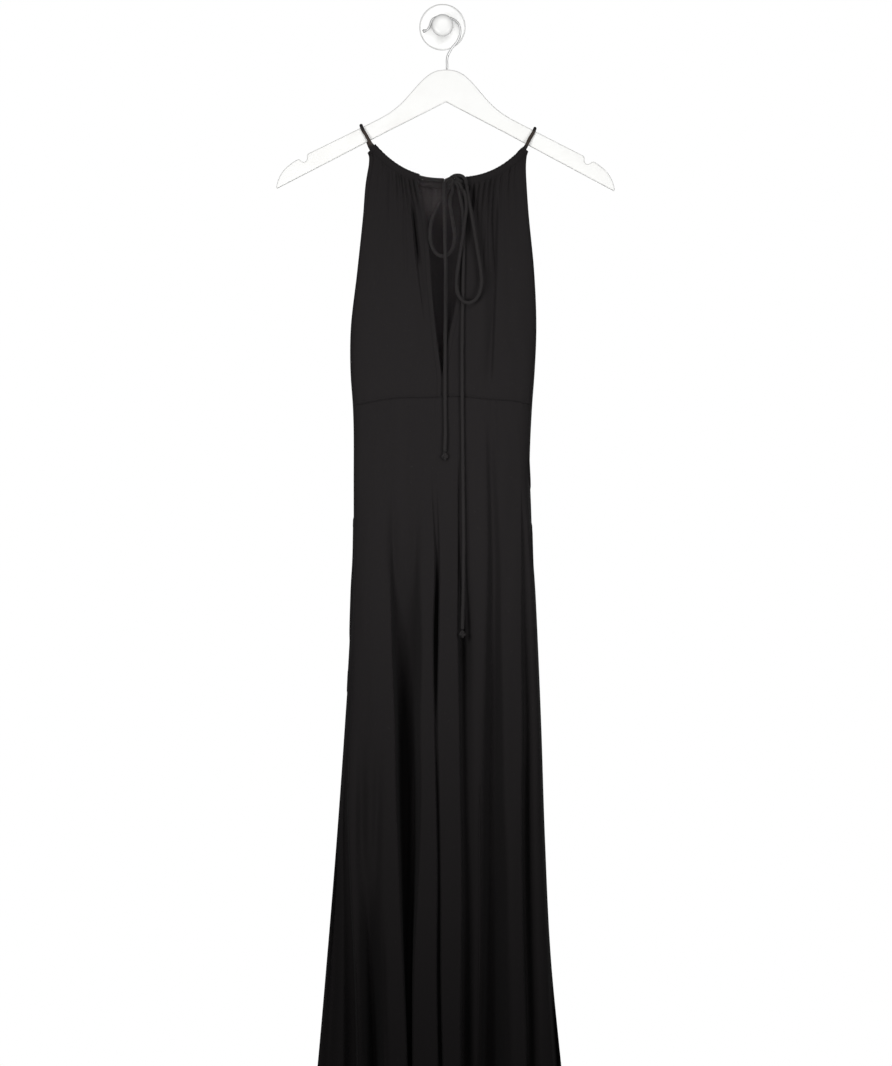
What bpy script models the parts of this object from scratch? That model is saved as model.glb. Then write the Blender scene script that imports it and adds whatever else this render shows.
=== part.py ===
"""Drawstring-neck maxi dress on a flat wooden hanger that hangs from a round wall peg.

Frame: +X to the right as the viewer sees the dress, +Y into the wall, +Z up. The origin is the
centre of the peg plate's back face, so everything hangs below it on the room side of the wall.
Left and right are the viewer's. Sizes in the tables are millimetres.
"""

import math
from collections import namedtuple

import bmesh
import bpy
import numpy as np
from mathutils import Vector

MM = 0.001
WALL = 1.2
SEAM_GAP = 0.3
MITRE_LIMIT = 1.7

# Heights down the dress, below the origin
SHOULDER_Z = -171.0
UNDERARM_Z = -401.0
SLIT_END_Z = -468.0
WAIST_Z = -496.0
WAIST_ARCH = 9.0
HEM_Z = -1567.0
CENTRE_X = -1.0

# The outline seen from the front, and the depth of the front and the back at each height
Section = namedtuple("Section", "z left right front back")
SECTIONS = (
    Section(-171, -93.8, 105.7, -47, -15),
    Section(-204, -100.4, 109.6, -50, -13),
    Section(-250, -104.5, 113.5, -53, -11),
    Section(-322, -112.2, 120.6, -58, -10),
    Section(-401, -121.0, 123.5, -62, -9),
    Section(-453, -121.0, 121.2, -64, -9),
    Section(-496, -118.0, 118.0, -66, -9),
    Section(-600, -117.2, 114.4, -71, -9),
    Section(-755, -120.0, 122.6, -78, -8),
    Section(-912, -127.9, 129.6, -85, -8),
    Section(-1070, -139.1, 134.8, -92, -7),
    Section(-1227, -151.9, 142.6, -98, -7),
    Section(-1360, -163.5, 155.4, -102, -6),
    Section(-1567, -184.5, 177.4, -107, -6),
)
SIDE_BULGE = 3.5
SIDE_FLAT = 5.0

# Skirt folds: the level columns are x or depth at each of SKIRT_LEVELS. The last columns are
# the trough's half-widths at the waist and at the hem, on its left and on its right.
# FOLD_SHAPE goes from lip to lip: share of the half-width, share of the depth.
FOLD_SHAPE = (
    (-1.25, 0.0), (-0.85, 0.1), (-0.55, 0.6), (-0.28, 1.03), (0.28, 1.03), (0.55, 0.6), (0.85, 0.1), (1.25, 0.0),
)
SKIRT_LEVELS = (-496, -676, -912, -1149, -1359, -1567)
Fold = namedtuple("Fold", "name x depth left right")
FRONT_FOLDS = (
    Fold("far_left", (-107, -109, -119, -127, -125, -121), (0, 0, 3, 20, 26, 28), (2, 8), (2, 3)),
    Fold("left_soft", (-90, -95, -104, -101, -91, -82), (0, 0, 0, 8, 26, 34), (6, 10), (6, 10)),
    Fold("left_deep", (-55, -53, -51, -45, -46, -48), (0, 3, 23, 33, 38, 40), (16, 3), (16, 3)),
    Fold("centre_slit", (-13, -8, -8, -4, -3, -1), (0, 9, 22, 30, 36, 38), (4, 3), (4, 3)),
    Fold("cord_side", (20, 24, 28, 29, 28, 30), (0, 7, 18, 28, 34, 36), (3, 3), (8, 15)),
    Fold("right_soft", (61, 65, 66, 62, 60, 57), (0, 7, 17, 29, 37, 38), (6, 5), (14, 24)),
    Fold("right_deep", (93, 105, 107, 111, 115, 118), (0, 5, 17, 28, 33, 36), (3, 3), (3, 11)),
)
# How far each crest between those folds stands back from the front at the hem
FRONT_CRESTS = (22, 0, 0, -2, 0, 16, 0, 6)
CREST_START_Z = -600
BACK_FOLDS = (
    Fold("back_far_right", (92, 96, 104, 116, 128, 140), (0, 2, 8, 15, 18, 20), (5, 6), (5, 8)),
    Fold("back_right", (54, 56, 60, 66, 72, 78), (0, 4, 12, 18, 21, 22), (7, 4), (7, 10)),
    Fold("back_centre", (10, 10, 12, 13, 14, 14), (0, 6, 14, 19, 21, 22), (8, 5), (8, 5)),
    Fold("back_left", (-40, -40, -44, -48, -52, -56), (0, 3, 11, 18, 21, 22), (8, 10), (8, 4)),
    Fold("back_far_left", (-86, -88, -94, -104, -116, -128), (0, 2, 8, 15, 18, 20), (5, 9), (5, 6)),
)
BACK_CRESTS = (-3, 0, 0, 0, 0, -3)
SKIRT_ROWS = 12

# Neckline: the run of the drawstring's centre in the front and the back casing
Neckline = namedtuple("Neckline", "left right low_z rise power corner_y middle_y")
FRONT_NECK = Neckline(-88.0, 108.4, -203.2, 41.6, 2.6, -42.0, -47.5)
BACK_NECK = Neckline(-94.0, 106.5, -207.4, 45.4, 2.6, -18.5, -17.5)
SLIT_TOP_LEFT = -31.0
SLIT_TOP_RIGHT = 38.0
SLIT_HEIGHTS = (-150, -206, -244, -352, -412, -468)
SLIT_LEFT = (-35.0, -33.0, -24.0, -14.0, -8.0, -1.2)
SLIT_RIGHT = (40.0, 38.0, 31.0, 21.5, 9.0, -0.8)
STITCH_DROP = 6.0
CASING = ((-1.35, -4.8), (-4.0, -1.5), (-3.0, 3.0), (0.0, 4.2), (3.0, 3.0), (4.0, -1.5), (1.35, -6.0))
BODICE_ROWS = (0.0, 0.035, 0.09, 0.17, 0.27, 0.39, 0.51, 0.63, 0.75, 0.87, 1.0)
UNDERARM_ROW = 0.72
ARMHOLE_GAPE = 7.0
ARMHOLE_INSET = 6.0
CORNER_SETTLE = 18

# Gathers under the casing: share of the way across the panel, depth, and how far down they fade
Gather = namedtuple("Gather", "across depth length")
LEFT_GATHERS = (
    Gather(0.10, 0.9, 60), Gather(0.22, 1.1, 80), Gather(0.33, 1.3, 90), Gather(0.44, 1.4, 70),
    Gather(0.54, 1.8, 80), Gather(0.64, 2.2, 90), Gather(0.73, 2.4, 60), Gather(0.83, 4.6, 150),
    Gather(0.93, 2.2, 70),
)
RIGHT_GATHERS = (
    Gather(0.06, 2.2, 70), Gather(0.15, 2.6, 90), Gather(0.25, 3.0, 110), Gather(0.36, 2.8, 130),
    Gather(0.48, 4.2, 230), Gather(0.60, 2.0, 70), Gather(0.72, 1.4, 70), Gather(0.84, 1.2, 90),
    Gather(0.94, 0.8, 60),
)
BACK_GATHERS = tuple(
    Gather((k + 0.5) / 9, 1.6 + 1.2 * math.sin(1.9 * k) ** 2, 70 + 60 * math.cos(1.3 * k) ** 2)
    for k in range(9)
)

# Drawstring, its bow and its ends
CORD_R = 2.25
LOOP_STEP = 7.5
CORD_STARTS = (2.9, 32.6)
LOOP_X = (-107.0, 121.5)
LOOP_FEET = {-1: (12.6, 2.3, 20.5), 1: (9.4, 1.6, 15.6)}
TAIL_STEP = 15.0
KNOT_AT = (17.7, -53.5, -205.7)
KNOT_SIZE = (3.9, 3.4, 3.4)
KNOT_POINTS = 27
KNOT_CORD_R = 1.9
END_KNOT_PROFILE = ((0.0, -5.6), (2.6, -4.6), (4.3, -1.6), (4.2, 1.2), (2.9, 3.4), (3.1, 4.6), (0.0, 5.2))

# Hanger: half its outline, from the neck to the tip and back under the arm
HANGER_CENTRE_X = 5.2
HANGER_TOP_Z = -57.5
HANGER_THICK = 12.0
HANGER_Y = -30.0
HANGER_BEVEL = 1.8
HANGER_TILT = math.radians(0.45)
HANGER_TOP_EDGE = (
    (0.0, 0.0), (9.0, -0.8), (17.0, -3.2), (26.0, -9.0), (35.0, -17.5), (45.0, -29.0), (56.0, -41.5),
    (68.0, -52.5), (82.0, -62.0), (100.0, -71.5), (120.0, -81.5), (150.0, -96.5), (181.0, -112.0),
)
HANGER_NOTCH = ((182.5, -114.5), (182.5, -119.5), (186.0, -123.0), (190.5, -121.5), (194.0, -119.5))
HANGER_TIP = ((203.0, -125.0), (213.0, -134.0), (219.5, -145.0), (222.5, -155.5), (221.5, -158.0))
HANGER_UNDERSIDE = ((150.0, -120.5), (80.0, -83.5), (8.0, -45.0), (0.0, -42.5))

# Wire hook and wall peg
WIRE_R = 1.7
HOOK_STEM_X = 0.8
HOOK_CENTRE = (1.6, -9.6)
HOOK_R = 20.6
HOOK_TIP_BALL_R = 2.3
PEG_NECK_R = 8.9
PEG_PLATE_R = 30.5
PEG_PLATE_THICK = 8.0
PEG_KNOB_R = 14.5
PEG_LENGTH = 58.0
PEG_KNOB_THICK = 12.0
ROUND_STEPS = 24

MATERIALS = {
    "black_jersey": ((0.020, 0.019, 0.020), 0.85, 0.0),
    "black_cord": ((0.024, 0.022, 0.023), 0.80, 0.0),
    "white_wood": ((0.86, 0.86, 0.84), 0.45, 0.0),
    "steel_wire": ((0.62, 0.62, 0.62), 0.28, 1.0),
    "white_peg": ((0.88, 0.88, 0.87), 0.40, 0.0),
}


def clear_scene():
    for obj in list(bpy.data.objects):
        bpy.data.objects.remove(obj, do_unlink=True)


def make_material(name):
    colour, roughness, metallic = MATERIALS[name]
    material = bpy.data.materials.new(name)
    material.use_nodes = True
    shader = material.node_tree.nodes["Principled BSDF"]
    shader.inputs["Base Color"].default_value = (*colour, 1.0)
    shader.inputs["Roughness"].default_value = roughness
    shader.inputs["Metallic"].default_value = metallic
    return material


def add_object(name, data, material, collection):
    obj = bpy.data.objects.new(name, data)
    collection.objects.link(obj)
    data.materials.append(material)
    return obj


def along(heights, values, z):
    """Smooth value at height z, through the values given at the heights."""
    h = np.array(heights, float)
    v = np.array(values, float)
    if h[0] > h[-1]:
        h, v = h[::-1], v[::-1]
    z = min(max(z, h[0]), h[-1])
    slope = np.gradient(v, h)
    i = int(np.clip(np.searchsorted(h, z) - 1, 0, len(h) - 2))
    step = h[i + 1] - h[i]
    t = (z - h[i]) / step
    rise = (v[i + 1] - v[i]) * (3 * t * t - 2 * t**3)
    bend = step * (slope[i] * (t**3 - 2 * t * t + t) + slope[i + 1] * (t**3 - t * t))
    return float(v[i] + rise + bend)


def section_at(z):
    """The outline and depths at height z."""
    heights = [s.z for s in SECTIONS]
    columns = [[getattr(s, field) for s in SECTIONS] for field in Section._fields[1:]]
    return Section(z, *(along(heights, column, z) for column in columns))


def side_depth(z):
    """Depth of the side seam, halfway between the front and the back."""
    s = section_at(z)
    return 0.5 * (s.front + s.back)


def share_out(x, s):
    """How far x is from the centre to the outline, from 0 to 1."""
    reach = s.right - CENTRE_X if x > CENTRE_X else CENTRE_X - s.left
    return min(1.0, abs(x - CENTRE_X) / reach)


def rounding(t):
    """Flat over the middle and round at the sides: 1 at the centre, 0 at the outline."""
    return (1.0 - t**SIDE_BULGE) ** (1.0 / SIDE_BULGE)


def base_depth(x, s, face):
    side = 0.5 * (s.front + s.back)
    return side + (face - side) * rounding(share_out(x, s))


def waist_height(x):
    """The waist seam arches up at the centre."""
    return WAIST_Z + WAIST_ARCH * (1.0 - share_out(x, section_at(WAIST_Z)) ** 2)


def smoothstep(t):
    t = min(1.0, max(0.0, t))
    return t * t * (3.0 - 2.0 * t)


def rounded(points):
    """Points at the knots of the cubic B-spline that these control points make."""
    p = np.array(points, float)
    inner = (p[:-2] + 4.0 * p[1:-1] + p[2:]) / 6.0
    return np.vstack([p[:1], inner, p[-1:]])


def fold_controls(folds, crests, s, z, face, direction):
    """Control points across one face of the skirt at height z, in the order of the folds."""
    growth = smoothstep((CREST_START_Z - z) / (CREST_START_Z - HEM_Z))
    down = (WAIST_Z - z) / (WAIST_Z - HEM_Z)
    inward = 1.0 if face < side_depth(z) else -1.0
    ends = (s.left, s.right) if direction > 0 else (s.right, s.left)

    def crest_y(x, index):
        return base_depth(x, s, face) + inward * growth * crests[index]

    lips = []
    for fold in folds:
        x = along(SKIRT_LEVELS, fold.x, z)
        before, after = (fold.left, fold.right) if direction > 0 else (fold.right, fold.left)
        near = before[0] + (before[1] - before[0]) * down
        far = after[0] + (after[1] - after[0]) * down
        lips.append((x, direction * near, direction * far, along(SKIRT_LEVELS, fold.depth, z)))
    points = []
    for i, (middle, near, far, depth) in enumerate(lips):
        start = ends[0] if i == 0 else lips[i - 1][0] + lips[i - 1][2]
        crest = 0.5 * (start + middle - near)
        if i == 0:
            turn = 0.5 * (ends[0] + crest)
            points.append((turn, crest_y(turn, 0)))
        points.append((crest, crest_y(crest, i)))
        bottom = base_depth(middle, s, face) + inward * depth
        for share, fall in FOLD_SHAPE:
            x = middle + share * (far if share > 0.0 else near)
            lip = crest_y(x, i if share < 0.0 else i + 1)
            points.append((x, lip + (bottom - lip) * fall))
    crest = 0.5 * (lips[-1][0] + lips[-1][2] + ends[1])
    turn = 0.5 * (ends[1] + crest)
    points += [(crest, crest_y(crest, len(lips))), (turn, crest_y(turn, len(lips)))]
    return points


def skirt_ring(z):
    """(front, back) outer points of the skirt at height z, seam to seam."""
    s = section_at(z)
    side = side_depth(z)
    front = fold_controls(FRONT_FOLDS, FRONT_CRESTS, s, z, s.front, 1)
    back = fold_controls(BACK_FOLDS, BACK_CRESTS, s, z, s.back, -1)
    front = [(s.left, side), (s.left, side - SIDE_FLAT), *front, (s.right, side - SIDE_FLAT), (s.right, side)]
    back = [(s.right, side), (s.right, side + SIDE_FLAT), *back, (s.left, side + SIDE_FLAT), (s.left, side)]
    return rounded(front), rounded(back)


def ring_normals(ring):
    """Outward directions round a closed ring of points, level with the floor."""
    tangent = np.roll(ring, -1, axis=0) - np.roll(ring, 1, axis=0)
    normal = np.stack([tangent[:, 1], -tangent[:, 0], np.zeros(len(ring))], axis=1)
    normal /= np.linalg.norm(normal, axis=1)[:, None]
    step = np.roll(ring, -1, axis=0) - ring
    step /= np.linalg.norm(step, axis=1)[:, None]
    mitre = np.abs(normal[:, 0] * step[:, 1] - normal[:, 1] * step[:, 0])
    return normal / np.clip(mitre, 1.0 / MITRE_LIMIT, 1.0)[:, None]


def skirt_grids():
    """(points, normals) of the front and of the back, as rows down and columns across."""
    rows = {"front": [], "back": []}
    directions = {"front": [], "back": []}
    for i in range(SKIRT_ROWS):
        share = (i / (SKIRT_ROWS - 1)) ** 0.92
        z = WAIST_Z + (HEM_Z - WAIST_Z) * share
        front, back = skirt_ring(z)
        normals = ring_normals(np.vstack([front[:-1], back[:-1]]))
        count = len(front)
        directions["front"].append(normals[:count])
        directions["back"].append(np.vstack([normals[count - 1:], normals[:1]]))
        for name, flat in (("front", front), ("back", back)):
            lift = [(waist_height(x) - WAIST_Z) * (1.0 - share) ** 2 for x, _ in flat]
            low = SEAM_GAP / 2 if i == 0 else 0.0
            rows[name].append([(x, y, z + up - low) for (x, y), up in zip(flat, lift)])
    return {name: (np.array(rows[name]), np.array(directions[name])) for name in rows}


def surface_normals(grid):
    """Outward directions of a grid whose rows run down and whose columns run across."""
    normal = np.cross(np.gradient(grid, axis=0), np.gradient(grid, axis=1))
    return normal / np.linalg.norm(normal, axis=2)[:, :, None]


def neck_point(neck, x):
    """Centre of the drawstring in the casing at x."""
    middle = 0.5 * (neck.left + neck.right)
    t = abs(x - middle) / (0.5 * (neck.right - neck.left))
    depth = neck.middle_y + (neck.corner_y - neck.middle_y) * t**2
    return np.array([x, depth, neck.low_z + neck.rise * t**neck.power])


def neck_up(neck, x):
    """Direction square to the casing, in the plane of the neckline."""
    run = neck_point(neck, x + 1.0) - neck_point(neck, x - 1.0)
    up = np.array([-run[2], 0.0, run[0]])
    return up / np.linalg.norm(up)


def gather_depth(gathers, across, drop):
    """How far the cloth dips between two gathers, this far below the stitching."""
    depth = 0.0
    for i, gather in enumerate(gathers):
        left = gathers[i - 1].across if i else 0.0
        right = gathers[i + 1].across if i + 1 < len(gathers) else 1.0
        width = 0.5 * (gather.across - left if across < gather.across else right - gather.across)
        offset = abs(across - gather.across) / max(width, 0.02)
        if offset < 1.0:
            fade = smoothstep((drop - 1.0) / 8.0) * math.exp(-((drop / gather.length) ** 2))
            depth += gather.depth * fade * 0.5 * (1.0 + math.cos(math.pi * offset))
    return depth


def bodice_grid(neck, gathers, shares, top_ends, edges, limits, outward):
    """Outer points of a bodice panel: the turned-over casing, then the panel down to the waist.

    shares run from 0 at the first edge to 1 at the last; edges give x at a height for each, and
    limits give where the body turns to the side seam there, or None at the slit.
    outward is -1 for the front and 1 for the back.
    """
    tops = []
    columns = []
    for share in shares:
        x = top_ends[0] + (top_ends[1] - top_ends[0]) * share
        centre, up = neck_point(neck, x), neck_up(neck, x)
        columns.append([centre + up * h + np.array([0.0, outward * d, 0.0]) for d, h in CASING])
        tops.append(columns[-1][-1])
    first, last = tops[0], tops[-1]
    for share, top, column in zip(shares, tops, columns):
        straight = first[0] + (last[0] - first[0]) * share
        for v in BODICE_ROWS[1:]:
            ends = []
            for end, edge in ((first, edges[0]), (last, edges[1])):
                z = end[2] + (WAIST_Z - end[2]) * v
                settle = CORNER_SETTLE if edge is outline_right else 3
                ends.append(edge(z) + (end[0] - edge(end[2])) * (1.0 - v) ** settle)
            x = ends[0] + (ends[1] - ends[0]) * share + (top[0] - straight) * (1.0 - v) ** 2
            bottom = waist_height(x) + SEAM_GAP / 2
            z = top[2] + (bottom - top[2]) * v
            weights = (1.0 - share, share)
            turn = x + sum(
                (limit(z) - end) * weight for limit, end, weight in zip(limits, ends, weights) if limit
            )
            column.append(np.array([x, bodice_depth(turn, z, v, top, outward), z]))
        for point, v in zip(column[len(CASING):], BODICE_ROWS[1:]):
            dip = gather_depth(gathers, share, top[2] - point[2])
            point[1] -= outward * dip
    return np.array(columns).transpose(1, 0, 2)


def bodice_depth(x, z, v, top, outward):
    """Depth of the bodice: held at the neckline, open at the armholes, round below them."""
    s = section_at(z)
    face = s.front if outward < 0 else s.back
    side = 0.5 * (s.front + s.back)
    out = share_out(x, s)
    open_share = smoothstep((UNDERARM_ROW - v) / UNDERARM_ROW)
    gape = ARMHOLE_GAPE * math.sin(math.pi * min(1.0, v / UNDERARM_ROW)) if v < UNDERARM_ROW else 0.0
    edge = side + (top[1] - side) * open_share + outward * gape
    body = edge + (face - edge) * rounding(out)
    settle = smoothstep(v / 0.35)
    return top[1] + (body - top[1]) * settle


def slit_left(z):
    return along(SLIT_HEIGHTS, SLIT_LEFT, z)


def slit_right(z):
    return along(SLIT_HEIGHTS, SLIT_RIGHT, z)


def outline_left(z):
    return section_at(z).left


def outline_right(z):
    return section_at(z).right


def armhole_left(z):
    """The front's left armhole edge stands in from the outline, where the back shows past it."""
    t = (z - UNDERARM_Z) / (SHOULDER_Z - UNDERARM_Z)
    inset = ARMHOLE_INSET * math.sin(math.pi * min(1.0, max(0.0, t))) ** 2
    return outline_left(z) + inset


def column_shares(count, side_first):
    """Columns across a panel, closer together where it turns round the side."""
    even = np.linspace(0.0, 1.0, count)
    crowded = even**1.25
    return crowded if side_first else 1.0 - crowded[::-1]


def hold_edges(grid, normals, sides):
    """Squares a bodice panel's rims to the seams, and leaves half the seam gap at each."""
    normals[-1, :, 2] = 0.0
    below = grid[:, :, 2] < UNDERARM_Z
    for column, direction in sides:
        flat = np.array([direction, 0.0, 0.0]) if direction else None
        for row in range(len(grid)):
            if not below[row, column]:
                continue
            if flat is not None:
                normals[row, column] = flat
        inner = 1 if column == 0 else -2
        step = grid[:, inner] - grid[:, column]
        step /= np.linalg.norm(step, axis=1)[:, None]
        grid[:, column] += step * SEAM_GAP / 2
    normals /= np.linalg.norm(normals, axis=2)[:, :, None]


def wall_mesh(name, grid, normals):
    """A closed cloth wall: the grid is its outer face and WALL is its thickness inwards."""
    rows, columns = grid.shape[:2]
    inner = grid - normals * WALL
    points = np.vstack([grid.reshape(-1, 3), inner.reshape(-1, 3)]) * MM
    count = rows * columns

    def at(row, column, layer=0):
        return layer * count + row * columns + column

    faces = []
    for r in range(rows - 1):
        for c in range(columns - 1):
            a, b, d, e = at(r, c), at(r + 1, c), at(r + 1, c + 1), at(r, c + 1)
            level = np.linalg.norm(points[a] - points[d]) <= np.linalg.norm(points[b] - points[e])
            halves = ((a, b, d), (a, d, e)) if level else ((a, b, e), (b, d, e))
            faces.extend(halves)
            faces.extend(tuple(i + count for i in reversed(half)) for half in halves)
    for r in range(rows - 1):
        last = columns - 1
        faces.append((at(r, 0, 1), at(r + 1, 0, 1), at(r + 1, 0), at(r, 0)))
        faces.append((at(r, last), at(r + 1, last), at(r + 1, last, 1), at(r, last, 1)))
    for c in range(columns - 1):
        last = rows - 1
        faces.append((at(0, c), at(0, c + 1), at(0, c + 1, 1), at(0, c, 1)))
        faces.append((at(last, c, 1), at(last, c + 1, 1), at(last, c + 1), at(last, c)))
    mesh = bpy.data.meshes.new(name)
    mesh.from_pydata([tuple(p) for p in points], [], faces)
    mesh.validate()
    mesh.shade_smooth()
    mesh.set_sharp_from_angle(angle=math.radians(75.0))
    return mesh


def smooth_route(points, step):
    """Points about a step apart on a Catmull-Rom curve through the route's own points."""
    p = [Vector(q) for q in points]
    p = [2 * p[0] - p[1], *p, 2 * p[-1] - p[-2]]
    fine = []
    for a, b, c, d in zip(p, p[1:], p[2:], p[3:]):
        for k in range(12):
            t = k / 12
            fine.append(0.5 * (
                2 * b + (c - a) * t + (2 * a - 5 * b + 4 * c - d) * t**2 + (3 * b - a - 3 * c + d) * t**3
            ))
    fine.append(p[-2])
    line = np.array(fine)
    reach = np.concatenate([[0.0], np.cumsum(np.linalg.norm(np.diff(line, axis=0), axis=1))])
    at = np.linspace(0.0, reach[-1], max(3, round(reach[-1] / step) + 1))
    return np.stack([np.interp(at, reach, line[:, k]) for k in range(3)], axis=1)


def tube(name, line, radius, material, collection, cyclic=False, sides=2):
    """A round cord or wire along a line of points in millimetres."""
    curve = bpy.data.curves.new(name, "CURVE")
    curve.dimensions = "3D"
    curve.bevel_depth = radius * MM
    curve.bevel_resolution = sides
    curve.use_fill_caps = not cyclic
    spline = curve.splines.new("POLY")
    spline.points.add(len(line) - 1)
    for point, place in zip(spline.points, line):
        point.co = (*(Vector(place) * MM), 1.0)
    spline.use_cyclic_u = cyclic
    return add_object(name, curve, material, collection)


def front_face(x, z):
    """Depth of the cloth's front at x and z, without its gathers and folds."""
    s = section_at(z)
    return base_depth(x, s, s.front)


def on_front(x, z, lift):
    """A cord's centre lying on the front of the dress, lifted this much more."""
    return (x, front_face(x, z) - CORD_R - 0.6 - lift, z)


def hanger_top(x):
    """Height of the hanger's top edge at x, with its tilt."""
    reach = abs(x - HANGER_CENTRE_X)
    fall = float(np.interp(reach, *zip(*HANGER_TOP_EDGE)))
    return HANGER_TOP_Z + fall - (x - HANGER_CENTRE_X) * math.sin(HANGER_TILT)


def shoulder_loop(x, side):
    """The cord's way from the front of the dress over the hanger's arm and down behind it."""
    top = hanger_top(x)
    half = HANGER_THICK / 2 + CORD_R
    leg = half + 1.0
    corner = half + 0.1
    foot = LOOP_FEET[side]
    return [
        (x - side * foot[0], HANGER_Y - leg - foot[1], top - foot[2]),
        (x - side * 5.5, HANGER_Y - leg - 0.4, top - 10.5),
        (x - side * 2.0, HANGER_Y - leg, top - 3.5),
        (x - side * 0.4, HANGER_Y - corner + 1.0, top + 2.2),
        (x, HANGER_Y - 4.5, top + 4.0),
        (x, HANGER_Y + 4.5, top + 4.0),
        (x - side * 0.4, HANGER_Y + corner - 1.0, top + 2.2),
        (x - side * 2.0, HANGER_Y + leg, top - 3.5),
        (x - side * 5.0, HANGER_Y + leg + 0.4, top - 10.5),
    ]


def neck_cord_line():
    """From the bow round through both casings and over the hanger, and back to the bow."""
    left = [neck_point(FRONT_NECK, x) for x in np.linspace(CORD_STARTS[0], FRONT_NECK.left, 10)]
    back = [neck_point(BACK_NECK, x) for x in np.linspace(BACK_NECK.left, BACK_NECK.right, 19)]
    right = [neck_point(FRONT_NECK, x) for x in np.linspace(FRONT_NECK.right, CORD_STARTS[1], 9)]
    left_loop = smooth_route([left[-2], left[-1], *shoulder_loop(LOOP_X[0], -1), back[0], back[1]], 5.5)
    right_loop = smooth_route([right[1], right[0], *shoulder_loop(LOOP_X[1], 1), back[-1], back[-2]], 5.5)
    return [*left[:-2], *left_loop, *back[2:-2], *right_loop[::-1], *right[2:]]


def knot_line():
    """A tight overhand knot: a trefoil with its three lobes up, left and right."""
    line = []
    for k in range(KNOT_POINTS):
        t = math.tau * k / KNOT_POINTS
        x = math.sin(t) + 2.0 * math.sin(2.0 * t)
        z = -math.cos(t) + 2.0 * math.cos(2.0 * t)
        y = math.sin(3.0 * t)
        line.append([at + size * value for at, size, value in zip(KNOT_AT, KNOT_SIZE, (x, y, z))])
    return line


def bow_routes():
    """Routes of the bow's two loops and two hanging ends, from the knot downwards."""
    left_loop = [
        (8.2, -51.2, -215.3), (4.6, -53.4, -220.0), (0.6, -56.4, -227.6), on_front(-6.6, -239.0, 0.6),
        on_front(-13.2, -253.0, 0.4), on_front(-16.4, -270.0, 0.2), on_front(-15.4, -285.5, 0.0),
        on_front(-9.8, -298.0, 0.0), on_front(-1.4, -303.4, 0.0), on_front(8.0, -300.4, 0.0),
        on_front(14.2, -290.0, 0.1), on_front(15.8, -274.0, 0.3), (12.6, -56.3, -253.0),
        (9.8, -54.8, -236.0), (10.5, -52.4, -225.4), (13.4, -50.8, -216.8),
    ]
    right_loop = [
        (26.6, -56.2, -215.5), (30.2, -60.6, -225.2), on_front(31.2, -241.0, 6.4), on_front(29.0, -260.0, 6.6),
        on_front(25.4, -287.0, 6.0), on_front(20.6, -317.0, 6.0), on_front(18.4, -338.0, 6.0),
        on_front(20.8, -354.0, 6.0), on_front(28.2, -363.4, 6.0), on_front(37.4, -364.4, 6.0),
        on_front(46.4, -357.0, 6.0), on_front(51.0, -341.0, 6.0), on_front(50.2, -322.0, 6.0),
        on_front(46.0, -296.0, 6.0), on_front(40.8, -264.0, 6.0), on_front(37.4, -244.0, 5.6),
        (34.6, -58.8, -225.6), (32.4, -53.2, -209.7),
    ]
    left_end = [
        (2.5, -54.2, -205.7), (2.2, -58.6, -214.7), (2.4, -62.8, -226.2), on_front(2.8, -258.0, 5.2),
        on_front(3.6, -300.0, 5.4), on_front(4.2, -318.0, 5.0), on_front(4.0, -362.0, 1.6),
        on_front(3.6, -430.0, 0.8), on_front(3.4, -490.0, 0.8), on_front(3.8, -535.0, 1.4),
        on_front(3.0, -561.0, 2.6),
    ]
    right_end = [
        (20.8, -53.2, -215.1), (24.0, -55.4, -228.2), (27.0, -58.2, -247.0), on_front(27.7, -275.0, 0.3),
        on_front(27.6, -310.0, 0.6), on_front(26.8, -350.0, 0.6), on_front(25.8, -420.0, 0.6),
        on_front(26.0, -496.0, 0.8), on_front(27.2, -620.0, 1.2), on_front(27.8, -680.0, 1.2),
        on_front(27.0, -750.0, 1.6), on_front(26.0, -794.0, 2.6),
    ]
    return {
        "bow_loop_left": (left_loop, LOOP_STEP),
        "bow_loop_right": (right_loop, LOOP_STEP),
        "tie_end_left": (left_end, TAIL_STEP),
        "tie_end_right": (right_end, TAIL_STEP),
    }


def turned(name, profile, axis_up, centre, material, collection, steps=ROUND_STEPS):
    """A turned solid from (radius, height) pairs, about the axis through centre."""
    mesh = bpy.data.meshes.new(name)
    points = [(r * MM, 0.0, h * MM) for r, h in profile]
    mesh.from_pydata(points, [(i, i + 1) for i in range(len(points) - 1)], [])
    obj = add_object(name, mesh, material, collection)
    screw = obj.modifiers.new("Turn", "SCREW")
    screw.steps = steps
    screw.render_steps = steps
    screw.use_merge_vertices = True
    screw.merge_threshold = 0.00005
    screw.use_normal_calculate = True
    obj.location = Vector(centre) * MM
    if not axis_up:
        obj.rotation_euler = (math.radians(90.0), 0.0, 0.0)
    return obj


def hanger_outline():
    """The hanger's full outline, the left half mirroring the right."""
    half = [*HANGER_TOP_EDGE, *HANGER_NOTCH, *HANGER_TIP, *HANGER_UNDERSIDE]
    mirrored = [(-x, z) for x, z in reversed(half[1:-1])]
    return half + mirrored


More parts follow.
